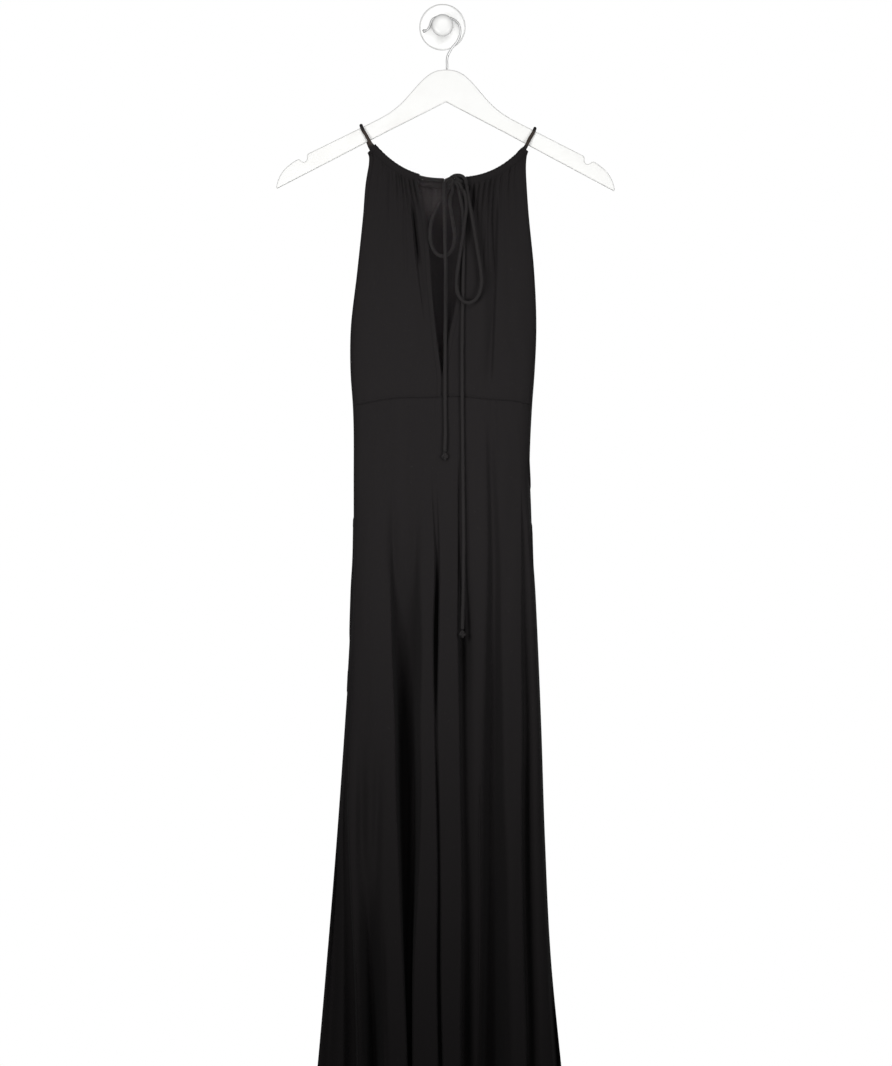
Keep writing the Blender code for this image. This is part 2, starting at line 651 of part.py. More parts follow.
def make_hanger(collection, materials):
    """The flat wooden hanger."""
    curve = bpy.data.curves.new("hanger_outline", "CURVE")
    curve.dimensions = "2D"
    curve.fill_mode = "BOTH"
    curve.bevel_depth = HANGER_BEVEL * MM
    curve.bevel_resolution = 1
    curve.offset = -HANGER_BEVEL * MM
    curve.extrude = (HANGER_THICK / 2 - HANGER_BEVEL) * MM
    outline = hanger_outline()
    spline = curve.splines.new("POLY")
    spline.points.add(len(outline) - 1)
    for point, (x, z) in zip(spline.points, outline):
        point.co = (x * MM, z * MM, 0.0, 1.0)
    spline.use_cyclic_u = True
    guide = bpy.data.objects.new("hanger_guide", curve)
    collection.objects.link(guide)
    mesh = bpy.data.meshes.new_from_object(guide.evaluated_get(bpy.context.evaluated_depsgraph_get()))
    bpy.data.objects.remove(guide, do_unlink=True)
    merge_points(mesh)
    hanger = add_object("hanger_body", mesh, materials["white_wood"], collection)
    hanger.rotation_euler = (math.radians(90.0), HANGER_TILT, 0.0)
    hanger.location = Vector((HANGER_CENTRE_X, HANGER_Y, HANGER_TOP_Z)) * MM


def merge_points(mesh):
    bm = bmesh.new()
    bm.from_mesh(mesh)
    bmesh.ops.remove_doubles(bm, verts=bm.verts, dist=0.00001)
    bmesh.ops.recalc_face_normals(bm, faces=bm.faces)
    bm.to_mesh(mesh)
    bm.free()


def hook_line():
    """The wire: a stem out of the hanger, a crank to the right, the hook, and a flared tip."""
    cx, cz = HOOK_CENTRE
    stem_x = HANGER_CENTRE_X + HOOK_STEM_X
    stem = [(stem_x, HANGER_TOP_Z + SEAM_GAP), (stem_x, HANGER_TOP_Z + 7.0), (stem_x, HANGER_TOP_Z + 14.0),
            (stem_x + 1.5, HANGER_TOP_Z + 19.5), (stem_x + 6.5, HANGER_TOP_Z + 27.0), (stem_x + 13.5, HANGER_TOP_Z + 35.0)]
    arc = []
    for k in range(11):
        angle = math.radians(-10.0 + 170.0 * k / 10)
        arc.append((cx + HOOK_R * math.cos(angle), cz + HOOK_R * math.sin(angle)))
    tip = [(cx - HOOK_R - 1.5, cz + 0.5), (cx - HOOK_R - 6.0, cz - 3.5)]
    return [(x, HANGER_Y, z) for x, z in [*stem, *arc, *tip]]


def build():
    clear_scene()
    materials = {name: make_material(name) for name in MATERIALS}
    dress = bpy.data.collections.new("maxi_dress")
    bpy.context.scene.collection.children.link(dress)

    jersey = materials["black_jersey"]
    for face, (grid, normals) in skirt_grids().items():
        for column, inner in ((0, 1), (-1, -2)):
            step = grid[:, inner] - grid[:, column]
            step /= np.linalg.norm(step, axis=1)[:, None]
            grid[:, column] += step * SEAM_GAP / 2
        add_object(f"skirt_{face}", wall_mesh(f"skirt_{face}", grid, normals), jersey, dress)

    panels = (
        ("bodice_front_left", FRONT_NECK, LEFT_GATHERS, column_shares(27, True),
         (FRONT_NECK.left, SLIT_TOP_LEFT), (armhole_left, slit_left), (outline_left, None),
         -1, ((0, -1.0), (-1, 0.0))),
        ("bodice_front_right", FRONT_NECK, RIGHT_GATHERS, column_shares(27, False),
         (SLIT_TOP_RIGHT, FRONT_NECK.right), (slit_right, outline_right), (None, outline_right),
         -1, ((0, 0.0), (-1, 1.0))),
        ("bodice_back", BACK_NECK, BACK_GATHERS, 0.5 - 0.5 * np.sin(math.pi * (0.5 - np.linspace(0, 1, 33))),
         (BACK_NECK.right, BACK_NECK.left), (outline_right, outline_left), (outline_right, outline_left),
         1, ((0, 1.0), (-1, -1.0))),
    )
    for name, neck, gathers, shares, tops, edges, limits, outward, sides in panels:
        grid = bodice_grid(neck, gathers, shares, tops, edges, limits, outward)
        normals = surface_normals(grid)
        hold_edges(grid, normals, sides)
        add_object(name, wall_mesh(name, grid, normals), jersey, dress)

    cord = materials["black_cord"]
    tube("neck_cord", neck_cord_line(), CORD_R, cord, dress)
    for name, (route, step) in bow_routes().items():
        line = smooth_route(route, step)
        tube(name, line, CORD_R, cord, dress)
        if name.startswith("tie_end"):
            knot = name.replace("tie_end", "end_knot")
            turned(knot, END_KNOT_PROFILE, True, line[-1] - np.array([0.0, 0.0, 5.6]), cord, dress, 12)
    tube("bow_knot", knot_line(), KNOT_CORD_R, cord, dress, cyclic=True)

    make_hanger(dress, materials)
    tube("hanger_hook", smooth_route(hook_line(), 4.5), WIRE_R, materials["steel_wire"], dress)
    knob_back = PEG_LENGTH - PEG_KNOB_THICK
    plate = ((0, 0.0), (30.5, 0.0), (30.5, 3.5), (30.0, 6.0), (27.5, 8.0), (0, 8.0))
    knob = ((0, 8.3), (PEG_NECK_R, 8.3), (PEG_NECK_R, knob_back), (11.5, knob_back), (14.0, knob_back + 1.5),
            (14.5, PEG_LENGTH - 5.0), (14.0, PEG_LENGTH - 2.0), (11.5, PEG_LENGTH), (0, PEG_LENGTH))
    turned("peg_plate", plate, False, (0, 0, 0), materials["white_peg"], dress)
    turned("peg_knob", knob, False, (0, 0, 0), materials["white_peg"], dress)


build()
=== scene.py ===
"""Looks of a drawstring-neck maxi dress on a flat wooden hanger, hooked over a round wall peg.

The cloth is draped: each panel is worked out from short tables of sections, folds,
gathers and creases, and is a thin closed shell. Tables are in millimetres, meshes in metres.
X runs to the viewer's right, Y into the wall and Z up, from the back of the peg's plate.
"""

import logging
import math
from dataclasses import dataclass
from enum import Enum
from typing import Any, Callable, Optional, Sequence

import bmesh
import bpy
import numpy as np
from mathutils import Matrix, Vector

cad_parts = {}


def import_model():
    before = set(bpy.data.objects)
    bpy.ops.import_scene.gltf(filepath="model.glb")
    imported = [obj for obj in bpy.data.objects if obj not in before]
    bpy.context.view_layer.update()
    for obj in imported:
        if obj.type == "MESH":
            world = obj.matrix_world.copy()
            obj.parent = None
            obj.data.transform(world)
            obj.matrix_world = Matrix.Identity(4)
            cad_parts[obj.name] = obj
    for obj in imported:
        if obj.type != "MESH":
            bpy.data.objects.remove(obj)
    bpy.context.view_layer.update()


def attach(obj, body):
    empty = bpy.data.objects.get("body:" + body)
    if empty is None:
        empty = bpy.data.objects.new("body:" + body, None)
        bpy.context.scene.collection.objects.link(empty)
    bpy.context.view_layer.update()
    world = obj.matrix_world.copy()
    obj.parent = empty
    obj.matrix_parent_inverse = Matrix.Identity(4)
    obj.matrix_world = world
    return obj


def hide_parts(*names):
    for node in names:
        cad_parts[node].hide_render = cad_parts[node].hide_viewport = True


LOG = logging.getLogger("maxi_dress")
MM = 0.001
ROOT = "root"
Array = np.ndarray
Point = tuple[float, float, float]
Pairs = tuple[tuple[float, float], ...]


class Slot(Enum):
    """Material slots, one for each finish."""

    JERSEY = "jersey"
    CORD = "cord"
    WOOD = "hanger_wood"
    WIRE = "hook_wire"
    PEG = "peg"


class Face(Enum):
    """Which way a panel of the dress faces: the sign is its outward direction along Y."""

    FRONT = -1
    BACK = 1


# Curves and meshes


def through(heights: Sequence[float], values: Sequence[float], z: Any) -> Array:
    """Reads a smooth curve that passes through table values.

    Args:
        heights: Heights of the table's rows, rising or falling.
        values: The value at each height.
        z: Height or heights to read at; the ends are held beyond the table.

    Returns:
        The values at z.
    """
    h, v = np.asarray(heights, float), np.asarray(values, float)
    if h[0] > h[-1]:
        h, v = h[::-1], v[::-1]
    z = np.clip(np.asarray(z, float), h[0], h[-1])
    slope = np.gradient(v, h)
    i = np.clip(np.searchsorted(h, z) - 1, 0, len(h) - 2)
    step = h[i + 1] - h[i]
    t = (z - h[i]) / step
    rise = (v[i + 1] - v[i]) * (3 * t * t - 2 * t**3)
    bend = step * (slope[i] * (t**3 - 2 * t * t + t) + slope[i + 1] * (t**3 - t * t))
    return v[i] + rise + bend


def smoothstep(t: Any) -> Array:
    """Eases from 0 to 1 as t goes from 0 to 1."""
    t = np.clip(t, 0.0, 1.0)
    return t * t * (3.0 - 2.0 * t)


def bspline(points: Any, per_span: int) -> Array:
    """Samples a cubic B-spline that starts and ends on its outer control points.

    Args:
        points: Control points, one a row.
        per_span: Samples between two neighbouring knots.

    Returns:
        The sampled points, one a row.
    """
    p = np.asarray(points, float)
    p = np.vstack([2 * p[0] - p[1], p, 2 * p[-1] - p[-2]])
    t = np.arange(per_span) / per_span
    basis = np.stack(
        [(1 - t) ** 3, 3 * t**3 - 6 * t**2 + 4, -3 * t**3 + 3 * t**2 + 3 * t + 1, t**3], axis=1
    ) / 6
    spans = [basis @ p[i : i + 4] for i in range(len(p) - 3)]
    return np.vstack([*spans, p[-2:-1]])


def catmull(points: Any, step: float) -> Array:
    """Samples a smooth curve through points, evenly along its length.

    Args:
        points: Points that the curve passes through.
        step: Distance between samples.

    Returns:
        The sampled points, one a row.
    """
    p = np.asarray(points, float)
    p = np.vstack([2 * p[0] - p[1], p, 2 * p[-1] - p[-2]])
    t = (np.arange(24) / 24)[:, None]
    fine = [
        0.5 * (2 * b + (c - a) * t + (2 * a - 5 * b + 4 * c - d) * t**2 + (3 * b - a - 3 * c + d) * t**3)
        for a, b, c, d in zip(p, p[1:], p[2:], p[3:])
    ]
    line = np.vstack([*fine, p[-2:-1]])
    reach = run_length(line)
    at = np.linspace(0.0, reach[-1], max(3, round(reach[-1] / step) + 1))
    return np.stack([np.interp(at, reach, line[:, k]) for k in range(line.shape[1])], axis=1)


def run_length(line: Array) -> Array:
    """Distance along a line of points, from its first point to each."""
    return np.concatenate([[0.0], np.cumsum(np.linalg.norm(np.diff(line, axis=0), axis=1))])


def surface_normals(grid: Array) -> Array:
    """Outward unit directions of a grid whose rows run down and whose columns run across."""
    normal = np.cross(np.gradient(grid, axis=0), np.gradient(grid, axis=1))
    return normal / np.maximum(np.linalg.norm(normal, axis=2), 1e-9)[:, :, None]


def laid_flat(grid: Array) -> tuple[Array, Array]:
    """Distance of each point of a grid down its column and across its row."""
    down = np.cumsum(np.linalg.norm(np.diff(grid, axis=0, prepend=grid[:1]), axis=2), axis=0)
    across = np.cumsum(np.linalg.norm(np.diff(grid, axis=1, prepend=grid[:, :1]), axis=2), axis=1)
    return down, across


def part_seams(grid: Array, gap: float) -> None:
    """Draws both side edges of a grid in by half of a gap, so that two panels don't touch."""
    for column, inner in ((0, 1), (-1, -2)):
        step = grid[:, inner] - grid[:, column]
        grid[:, column] += step / np.linalg.norm(step, axis=1)[:, None] * gap / 2


def weave_noise(u: Array, v: Array, seed: float) -> Array:
    """A smooth uneven ripple between about -1 and 1, the same on each run.

    Args:
        u: First coordinate, in ripples.
        v: Second coordinate, in ripples.
        seed: Shifts the ripple, so that two panels differ.

    Returns:
        The ripple's height at each place.
    """
    a = np.sin(u * 6.1 + 1.7 * np.sin(v * 2.3 + seed) + seed * 3.1)
    b = np.sin(u * 2.7 - v * 3.4 + 2.1 * np.sin(u * 1.3 + seed * 1.9))
    c = np.sin(v * 5.2 + 1.3 * np.sin(u * 3.7 - seed))
    return (a + b + 0.6 * c) / 2.6


@dataclass
class Shape:
    """Points in millimetres, faces by point number, and UV maps with a pair for each point."""

    points: Array
    faces: list[tuple[int, ...]]
    uvs: dict[str, Array]

    @classmethod
    def joined(cls, shapes: Sequence["Shape"]) -> "Shape":
        """Puts several shapes into one, in order."""
        faces: list[tuple[int, ...]] = []
        count = 0
        for shape in shapes:
            faces += [tuple(i + count for i in face) for face in shape.faces]
            count += len(shape.points)
        uvs = {layer: np.vstack([shape.uvs[layer] for shape in shapes]) for layer in shapes[0].uvs}
        return cls(np.vstack([shape.points for shape in shapes]), faces, uvs)

    def mesh(self, name: str, sharp: float) -> Any:
        """Makes a smooth-shaded mesh in metres.

        Args:
            name: Mesh name.
            sharp: Edges that turn by more than this many degrees are shaded sharp.

        Returns:
            The new mesh data.
        """
        mesh = bpy.data.meshes.new(name)
        mesh.from_pydata((np.asarray(self.points) * MM).tolist(), [], self.faces)
        loops = np.empty(len(mesh.loops), dtype=np.int32)
        mesh.loops.foreach_get("vertex_index", loops)
        for layer, pairs in self.uvs.items():
            mesh.uv_layers.new(name=layer).data.foreach_set("uv", pairs[loops].astype(np.float32).ravel())
        mesh.shade_smooth()
        mesh.set_sharp_from_angle(angle=math.radians(sharp))
        return mesh


def add_piece(
    name: str, shape: Any, finish: Any, nodes: Sequence[str], sharp: float = 75.0
) -> Any:
    """Puts a piece in the scene, on the object's one body.

    Args:
        name: Piece name.
        shape: Its shape, or a mesh that is ready.
        finish: Material that it wears.
        nodes: CAD nodes that it stands for.
        sharp: Edges that turn by more than this many degrees are shaded sharp.

    Returns:
        The new object.
    """
    data = shape.mesh(name, sharp) if isinstance(shape, Shape) else shape
    obj = bpy.data.objects.new(name, data)
    bpy.context.scene.collection.objects.link(obj)
    data.materials.append(finish)
    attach(obj, ROOT)
    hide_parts(*nodes)
    return obj


def shell(grid: Array, wall: float, stitched: Array) -> Shape:
    """Closes a sheet of cloth into a thin shell, with its cut laid out as a UV map.

    Args:
        grid: Outer points in millimetres, as rows down and columns across.
        wall: Thickness inwards, in millimetres.
        stitched: For each point, its distance from a sewn row and how far along that row it is.

    Returns:
        The shell.
    """
    rows, columns = grid.shape[:2]
    points = np.vstack([grid.reshape(-1, 3), (grid - surface_normals(grid) * wall).reshape(-1, 3)])
    count = rows * columns
    index = np.arange(count).reshape(rows, columns)
    outer = np.stack([index[:-1, :-1], index[1:, :-1], index[1:, 1:], index[:-1, 1:]], axis=-1).reshape(-1, 4)
    inner = outer[:, ::-1] + count
    rims = []
    for edge in (index[0, :], index[:, -1], index[-1, ::-1], index[::-1, 0]):
        rims.append(np.stack([edge[:-1], edge[1:], edge[1:] + count, edge[:-1] + count], axis=-1))
    across = np.linalg.norm(np.diff(grid, axis=1), axis=2).mean(axis=0)
    down = np.linalg.norm(np.diff(grid, axis=0), axis=2).mean(axis=1)
    cut_u = np.concatenate([[0.0], np.cumsum(across)])
    cut_v = np.concatenate([[0.0], np.cumsum(down)])
    cut = np.stack(np.meshgrid(cut_u, -cut_v), axis=-1).reshape(-1, 2) * MM
    sewn = stitched.reshape(-1, 2) * MM
    uvs = {"cut": np.vstack([cut, cut]), "sewn": np.vstack([sewn, sewn])}
    return Shape(points, [tuple(face) for face in np.vstack([outer, inner, *rims]).tolist()], uvs)


def tube(
    line: Array,
    radius: float,
    sides: int = 16,
    swell: Optional[Callable[[Array], Array]] = None,
    closed: bool = False,
) -> Shape:
    """Makes a round tube along a line, with rounded ends.

    Args:
        line: Centre points in millimetres.
        radius: Radius in millimetres.
        sides: Points round the tube.
        swell: Scales the radius, given the distance along the tube.
        closed: True for a ring with no ends.

    Returns:
        The tube, with a UV map of the distance along and round it.
    """
    line = np.asarray(line, float)
    reach = run_length(line)
    scale = np.ones(len(line)) if swell is None else np.asarray(swell(reach), float)
    if not closed:
        caps = radius * np.array([0.0, 0.3, 0.62, 0.86])
        bulge = np.sqrt(np.clip(1.0 - (1.0 - caps / radius) ** 2, 0.02, 1.0))
        head = np.stack([np.interp(caps, reach, line[:, k]) for k in range(3)], axis=1)
        tail = np.stack([np.interp(reach[-1] - caps[::-1], reach, line[:, k]) for k in range(3)], axis=1)
        keep = (reach > radius) & (reach < reach[-1] - radius)
        scale = np.concatenate([bulge * scale[0], scale[keep], bulge[::-1] * scale[-1]])
        line = np.vstack([head, line[keep], tail])
        reach = run_length(line)
    tangent = np.roll(line, -1, axis=0) - np.roll(line, 1, axis=0) if closed else np.gradient(line, axis=0)
    tangent /= np.linalg.norm(tangent, axis=1)[:, None]
    side = np.cross(tangent[0], (0.0, 1.0, 0.1))
    sides_at = []
    for direction in tangent:
        side = side - direction * np.dot(side, direction)
        side = side / np.linalg.norm(side)
        sides_at.append(side)
    sides_at = np.array(sides_at)
    other = np.cross(tangent, sides_at)
    angle = np.linspace(0.0, math.tau, sides, endpoint=False)
    roll = np.zeros(len(line))
    if closed:
        last = sides_at[-1] - tangent[0] * np.dot(sides_at[-1], tangent[0])
        twist = math.atan2(float(np.dot(last, other[0])), float(np.dot(last, sides_at[0])))
        roll = -twist * reach / reach[-1]
    ring = angle[None, :] + roll[:, None]
    points = line[:, None] + radius * scale[:, None, None] * (
        np.cos(ring)[..., None] * sides_at[:, None] + np.sin(ring)[..., None] * other[:, None]
    )
    count = len(line)
    index = np.arange(count * sides).reshape(count, sides)
    rows = index if not closed else np.vstack([index, index[:1]])
    faces = np.stack(
        [rows[:-1], np.roll(rows[:-1], -1, axis=1), np.roll(rows[1:], -1, axis=1), rows[1:]], axis=-1
    ).reshape(-1, 4).tolist()
    if not closed:
        faces += [index[0, ::-1].tolist(), index[-1].tolist()]
    run = np.repeat(reach[:, None], sides, axis=1)
    around = np.repeat(angle[None, :] * radius, count, axis=0)
    uv = np.stack([run, around], axis=-1).reshape(-1, 2) * MM
    return Shape(points.reshape(-1, 3), [tuple(face) for face in faces], {"cut": uv})


def turned(profile: Array, centre: Point, along_y: bool, steps: int = 96) -> Shape:
    """Turns a profile about an axis.

    Args:
        profile: Pairs of radius and place along the axis, in millimetres, on the axis at both ends.
        centre: Where the axis starts.
        along_y: True to turn about an axis that runs out from the wall, False about the upright.
        steps: Points round each ring.

    Returns:
        The turned shape.
    """
    angle = np.linspace(0.0, math.tau, steps, endpoint=False)
    rings = profile[1:-1]
    ring = np.stack([np.cos(angle), np.sin(angle)], axis=1)
    flat = rings[:, None, :1] * ring[None]
    place = np.repeat(rings[:, 1:], steps, axis=1)[..., None]
    points = np.concatenate([flat, place], axis=-1).reshape(-1, 3)
    points = np.vstack([points, [[0, 0, profile[0, 1]], [0, 0, profile[-1, 1]]]])
    if along_y:
        points = np.stack([points[:, 0], -points[:, 2], points[:, 1]], axis=1)
    index = np.arange(len(rings) * steps).reshape(len(rings), steps)
    following = np.roll(index, -1, axis=1)
    faces = np.stack([index[:-1], following[:-1], following[1:], index[1:]], axis=-1).reshape(-1, 4).tolist()
    first, last = len(points) - 2, len(points) - 1
    faces += [(following[0, k], index[0, k], first) for k in range(steps)]
    faces += [(index[-1, k], following[-1, k], last) for k in range(steps)]
    return Shape(points + np.array(centre), [tuple(face) for face in faces], {"cut": points[:, [0, 2]] * MM})


# Shader groups and finishes


class NodeTree:
    """A node tree with short calls for adding and joining nodes."""

    def __init__(self, tree: Any) -> None:
        """Works on the given node tree."""
        self.tree = tree

    def add(self, kind: str, inputs: Optional[dict[Any, Any]] = None, **settings: Any) -> Any:
        """Adds a node.

        Args:
            kind: Node type without its ShaderNode prefix.
            inputs: Values, or sockets to link from, by input name or number.
            **settings: Properties to set on the node.

        Returns:
            The new node.
        """
        node = self.tree.nodes.new(kind if kind.startswith("NodeGroup") else f"ShaderNode{kind}")
        for key, value in settings.items():
            setattr(node, key, value)
        for key, value in (inputs or {}).items():
            if isinstance(value, bpy.types.NodeSocket):
                self.tree.links.new(value, node.inputs[key])
            else:
                node.inputs[key].default_value = value
        return node

    def link(self, source: Any, target: Any) -> None:
        """Joins an output socket to an input socket."""
        self.tree.links.new(source, target)

    def math(self, operation: str, first: Any, second: Any = 0.0, clamp: bool = False) -> Any:
        """Adds a math node and returns its output socket."""
        return self.add("Math", {0: first, 1: second}, operation=operation, use_clamp=clamp).outputs[0]

    def plus(self, first: Any, second: Any) -> Any:
        """Adds two values and returns the output socket."""
        return self.math("ADD", first, second)

    def minus(self, first: Any, second: Any, clamp: bool = False) -> Any:
        """Takes one value from another and returns the output socket."""
        return self.math("SUBTRACT", first, second, clamp)

    def times(self, first: Any, second: Any, clamp: bool = False) -> Any:
        """Multiplies two values and returns the output socket."""
        return self.math("MULTIPLY", first, second, clamp)

    def surface(self, shader: Any, colour: Any, rough: Any, height: Any, bump: tuple[float, float]) -> None:
        """Joins what a finish has worked out to its shader.

        Args:
            shader: The Principled shader.
            colour: Socket of the base colour.
            rough: Socket of the roughness.
            height: Socket of the relief's height.
            bump: Strength and distance of the relief.
        """
        relief = self.add("Bump", {"Strength": bump[0], "Distance": bump[1], "Height": height})
        for source, name in ((colour, "Base Color"), (rough, "Roughness"), (relief.outputs[0], "Normal")):
            self.link(source, shader.inputs[name])

    def blend(self, share: Any, first: Any, second: Any) -> Any:
        """Mixes two colours by a share and returns the colour socket."""
        node = self.add("Mix", {0: share, 6: first, 7: second}, data_type="RGBA")
        return node.outputs[2]


def shader_group(
    name: str, inputs: dict[str, tuple[str, Any]], outputs: dict[str, str]
) -> tuple[Any, NodeTree, Any, Any]:
    """Starts a shader node group.

    Args:
        name: Group name.
        inputs: Kind and default of each input socket, by name.
        outputs: Kind of each output socket, by name.

    Returns:
        The group, its tree, its input node and its output node.
    """
    group = bpy.data.node_groups.new(name, "ShaderNodeTree")
    for label, (kind, default) in inputs.items():
        socket = group.interface.new_socket(label, in_out="INPUT", socket_type=f"NodeSocket{kind}")
        if default is not None:
            socket.default_value = default
    for label, kind in outputs.items():
        group.interface.new_socket(label, in_out="OUTPUT", socket_type=f"NodeSocket{kind}")
    tree = NodeTree(group)
    return group, tree, tree.add("NodeGroupInput"), tree.add("NodeGroupOutput")


def knit_group() -> Any:
    """Fine jersey: columns of small V stitches, from a map of the cut in metres.

    Returns:
        The group, with outputs Height and Shade from 0 to 1.
    """
    group, tree, source, target = shader_group(
        "fine_knit",
        {"Cut": ("Vector", None), "Wales": ("Float", 1100.0), "Courses": ("Float", 1400.0)},
        {"Height": "Float", "Shade": "Float"},
    )
    split = tree.add("SeparateXYZ", {0: source.outputs["Cut"]})
    wale = tree.math("FRACT", tree.times(split.outputs[0], source.outputs["Wales"]))
    off = tree.math("ABSOLUTE", tree.minus(wale, 0.5))
    course = tree.times(split.outputs[1], source.outputs["Courses"])
    lean = tree.plus(course, tree.times(off, 1.3))
    ripple = tree.math("SINE", tree.times(lean, math.tau))
    rib = tree.minus(1.0, tree.times(tree.math("ABSOLUTE", tree.minus(off, 0.25)), 4.0))
    height = tree.plus(tree.times(ripple, 0.22), tree.times(rib, 0.55))
    tree.link(height, target.inputs["Height"])
    tree.link(tree.minus(1.0, tree.times(rib, 0.6), clamp=True), target.inputs["Shade"])
    return group


def stitch_group() -> Any:
    """A sewn row: thread dashes in a shallow groove.

    Returns:
        The group, with outputs Thread and Groove from 0 to 1.
    """
    group, tree, source, target = shader_group(
        "sewn_row",
        {"Sewn": ("Vector", None), "Pitch": ("Float", 0.0030), "Width": ("Float", 0.00030)},
        {"Thread": "Float", "Groove": "Float"},
    )
    split = tree.add("SeparateXYZ", {0: source.outputs["Sewn"]})
    away = tree.math("ABSOLUTE", split.outputs[0])
    on_row = tree.math("LESS_THAN", away, source.outputs["Width"])
    stitches = tree.math("DIVIDE", split.outputs[1], source.outputs["Pitch"])
    dash = tree.math("LESS_THAN", tree.math("FRACT", stitches), 0.7)
    tree.link(tree.times(on_row, dash), target.inputs["Thread"])
    near = tree.minus(1.0, tree.math("DIVIDE", away, 0.0011), clamp=True)
    tree.link(tree.times(near, near), target.inputs["Groove"])
    return group


def wear_group() -> Any:
    """Uneven handling and settled dust, from the place on the object.

    Returns:
        The group, with outputs Patch, Fleck and Fine from 0 to 1.
    """
    group, tree, source, target = shader_group(
        "handling",
        {"Place": ("Vector", None), "Patch size": ("Float", 9.0), "Fleck size": ("Float", 420.0)},
        {"Patch": "Float", "Fleck": "Float", "Fine": "Float"},
    )
    place = source.outputs["Place"]
    patch = tree.add("TexNoise", {"Vector": place, "Scale": source.outputs["Patch size"], "Detail": 3.0})
    fleck = tree.add("TexNoise", {"Vector": place, "Scale": source.outputs["Fleck size"], "Detail": 1.0})
    fine = tree.add("TexNoise", {"Vector": place, "Scale": 1600.0, "Detail": 2.0})
    tree.link(patch.outputs[0], target.inputs["Patch"])
    spots = tree.times(tree.minus(fleck.outputs[0], 0.72), 9.0, clamp=True)
    tree.link(spots, target.inputs["Fleck"])
    tree.link(fine.outputs[0], target.inputs["Fine"])
    return group


@dataclass(frozen=True)
class Groups:
    """The shader groups that the finishes share."""

    knit: Any
    stitch: Any
    wear: Any

    @classmethod
    def build(cls) -> "Groups":
        """Builds each group once."""
        return cls(knit_group(), stitch_group(), wear_group())


def start_material(name: str, settings: dict[str, Any]) -> tuple[Any, NodeTree, Any]:
    """Starts a material with constants on its shader.

    Args:
        name: Material name.
        settings: Values of the Principled shader's inputs.

    Returns:
        The material, its tree and its Principled shader.
    """
    material = bpy.data.materials.new(name)
    material.use_nodes = True
    tree = NodeTree(material.node_tree)
    shader = material.node_tree.nodes["Principled BSDF"]
    for key, value in settings.items():
        shader.inputs[key].default_value = value
    return material, tree, shader


@dataclass(frozen=True)
class JerseyFinish:
    """Matt black viscose jersey with a fine knit, soft sheen and sewn rows."""

    name: str
    colour: Point
    worn_colour: Point
    knit_height: float
    # Painted shade for the knit's grooves and the groove beside each sewn row.
    painted_groove_shade: Point = (0.004, 0.004, 0.004)
    lint_colour: Point = (0.22, 0.21, 0.21)

    def material(self, groups: Groups) -> Any:
        """Makes the material.

        Args:
            groups: Shared shader groups.

        Returns:
            The jersey material.
        """
        material, tree, shader = start_material(
            self.name, {"Specular IOR Level": 0.06, "Sheen Weight": 0.02, "Sheen Roughness": 0.5}
        )
        cut = tree.add("UVMap", uv_map="cut").outputs[0]
        sewn = tree.add("UVMap", uv_map="sewn").outputs[0]
        place = tree.add("TexCoord").outputs["Object"]
        knit = tree.add("Group", {"Cut": cut}, node_tree=groups.knit)
        row = tree.add("Group", {"Sewn": sewn}, node_tree=groups.stitch)
        wear = tree.add("Group", {"Place": place}, node_tree=groups.wear)
        tone = tree.times(wear.outputs["Patch"], 0.8, clamp=True)
        cloth = tree.blend(tone, (*self.colour, 1.0), (*self.worn_colour, 1.0))
        # Paints shade into the knit's grooves and into the groove beside each sewn row.
        for dark in (knit.outputs["Shade"], row.outputs["Groove"]):
            cloth = tree.blend(tree.times(dark, 0.35), cloth, (*self.painted_groove_shade, 1.0))
        cloth = tree.blend(tree.times(wear.outputs["Fleck"], 0.05), cloth, (*self.lint_colour, 1.0))
        rough = tree.plus(0.78, tree.times(wear.outputs["Patch"], 0.16))
        stitches = tree.times(knit.outputs["Height"], self.knit_height)
        height = tree.plus(stitches, tree.times(wear.outputs["Fine"], 0.15))
        height = tree.plus(height, tree.times(row.outputs["Thread"], 0.5))
        height = tree.minus(height, tree.times(row.outputs["Groove"], 0.9))
        tree.surface(shader, cloth, rough, height, (0.55, 0.0003))
        return material


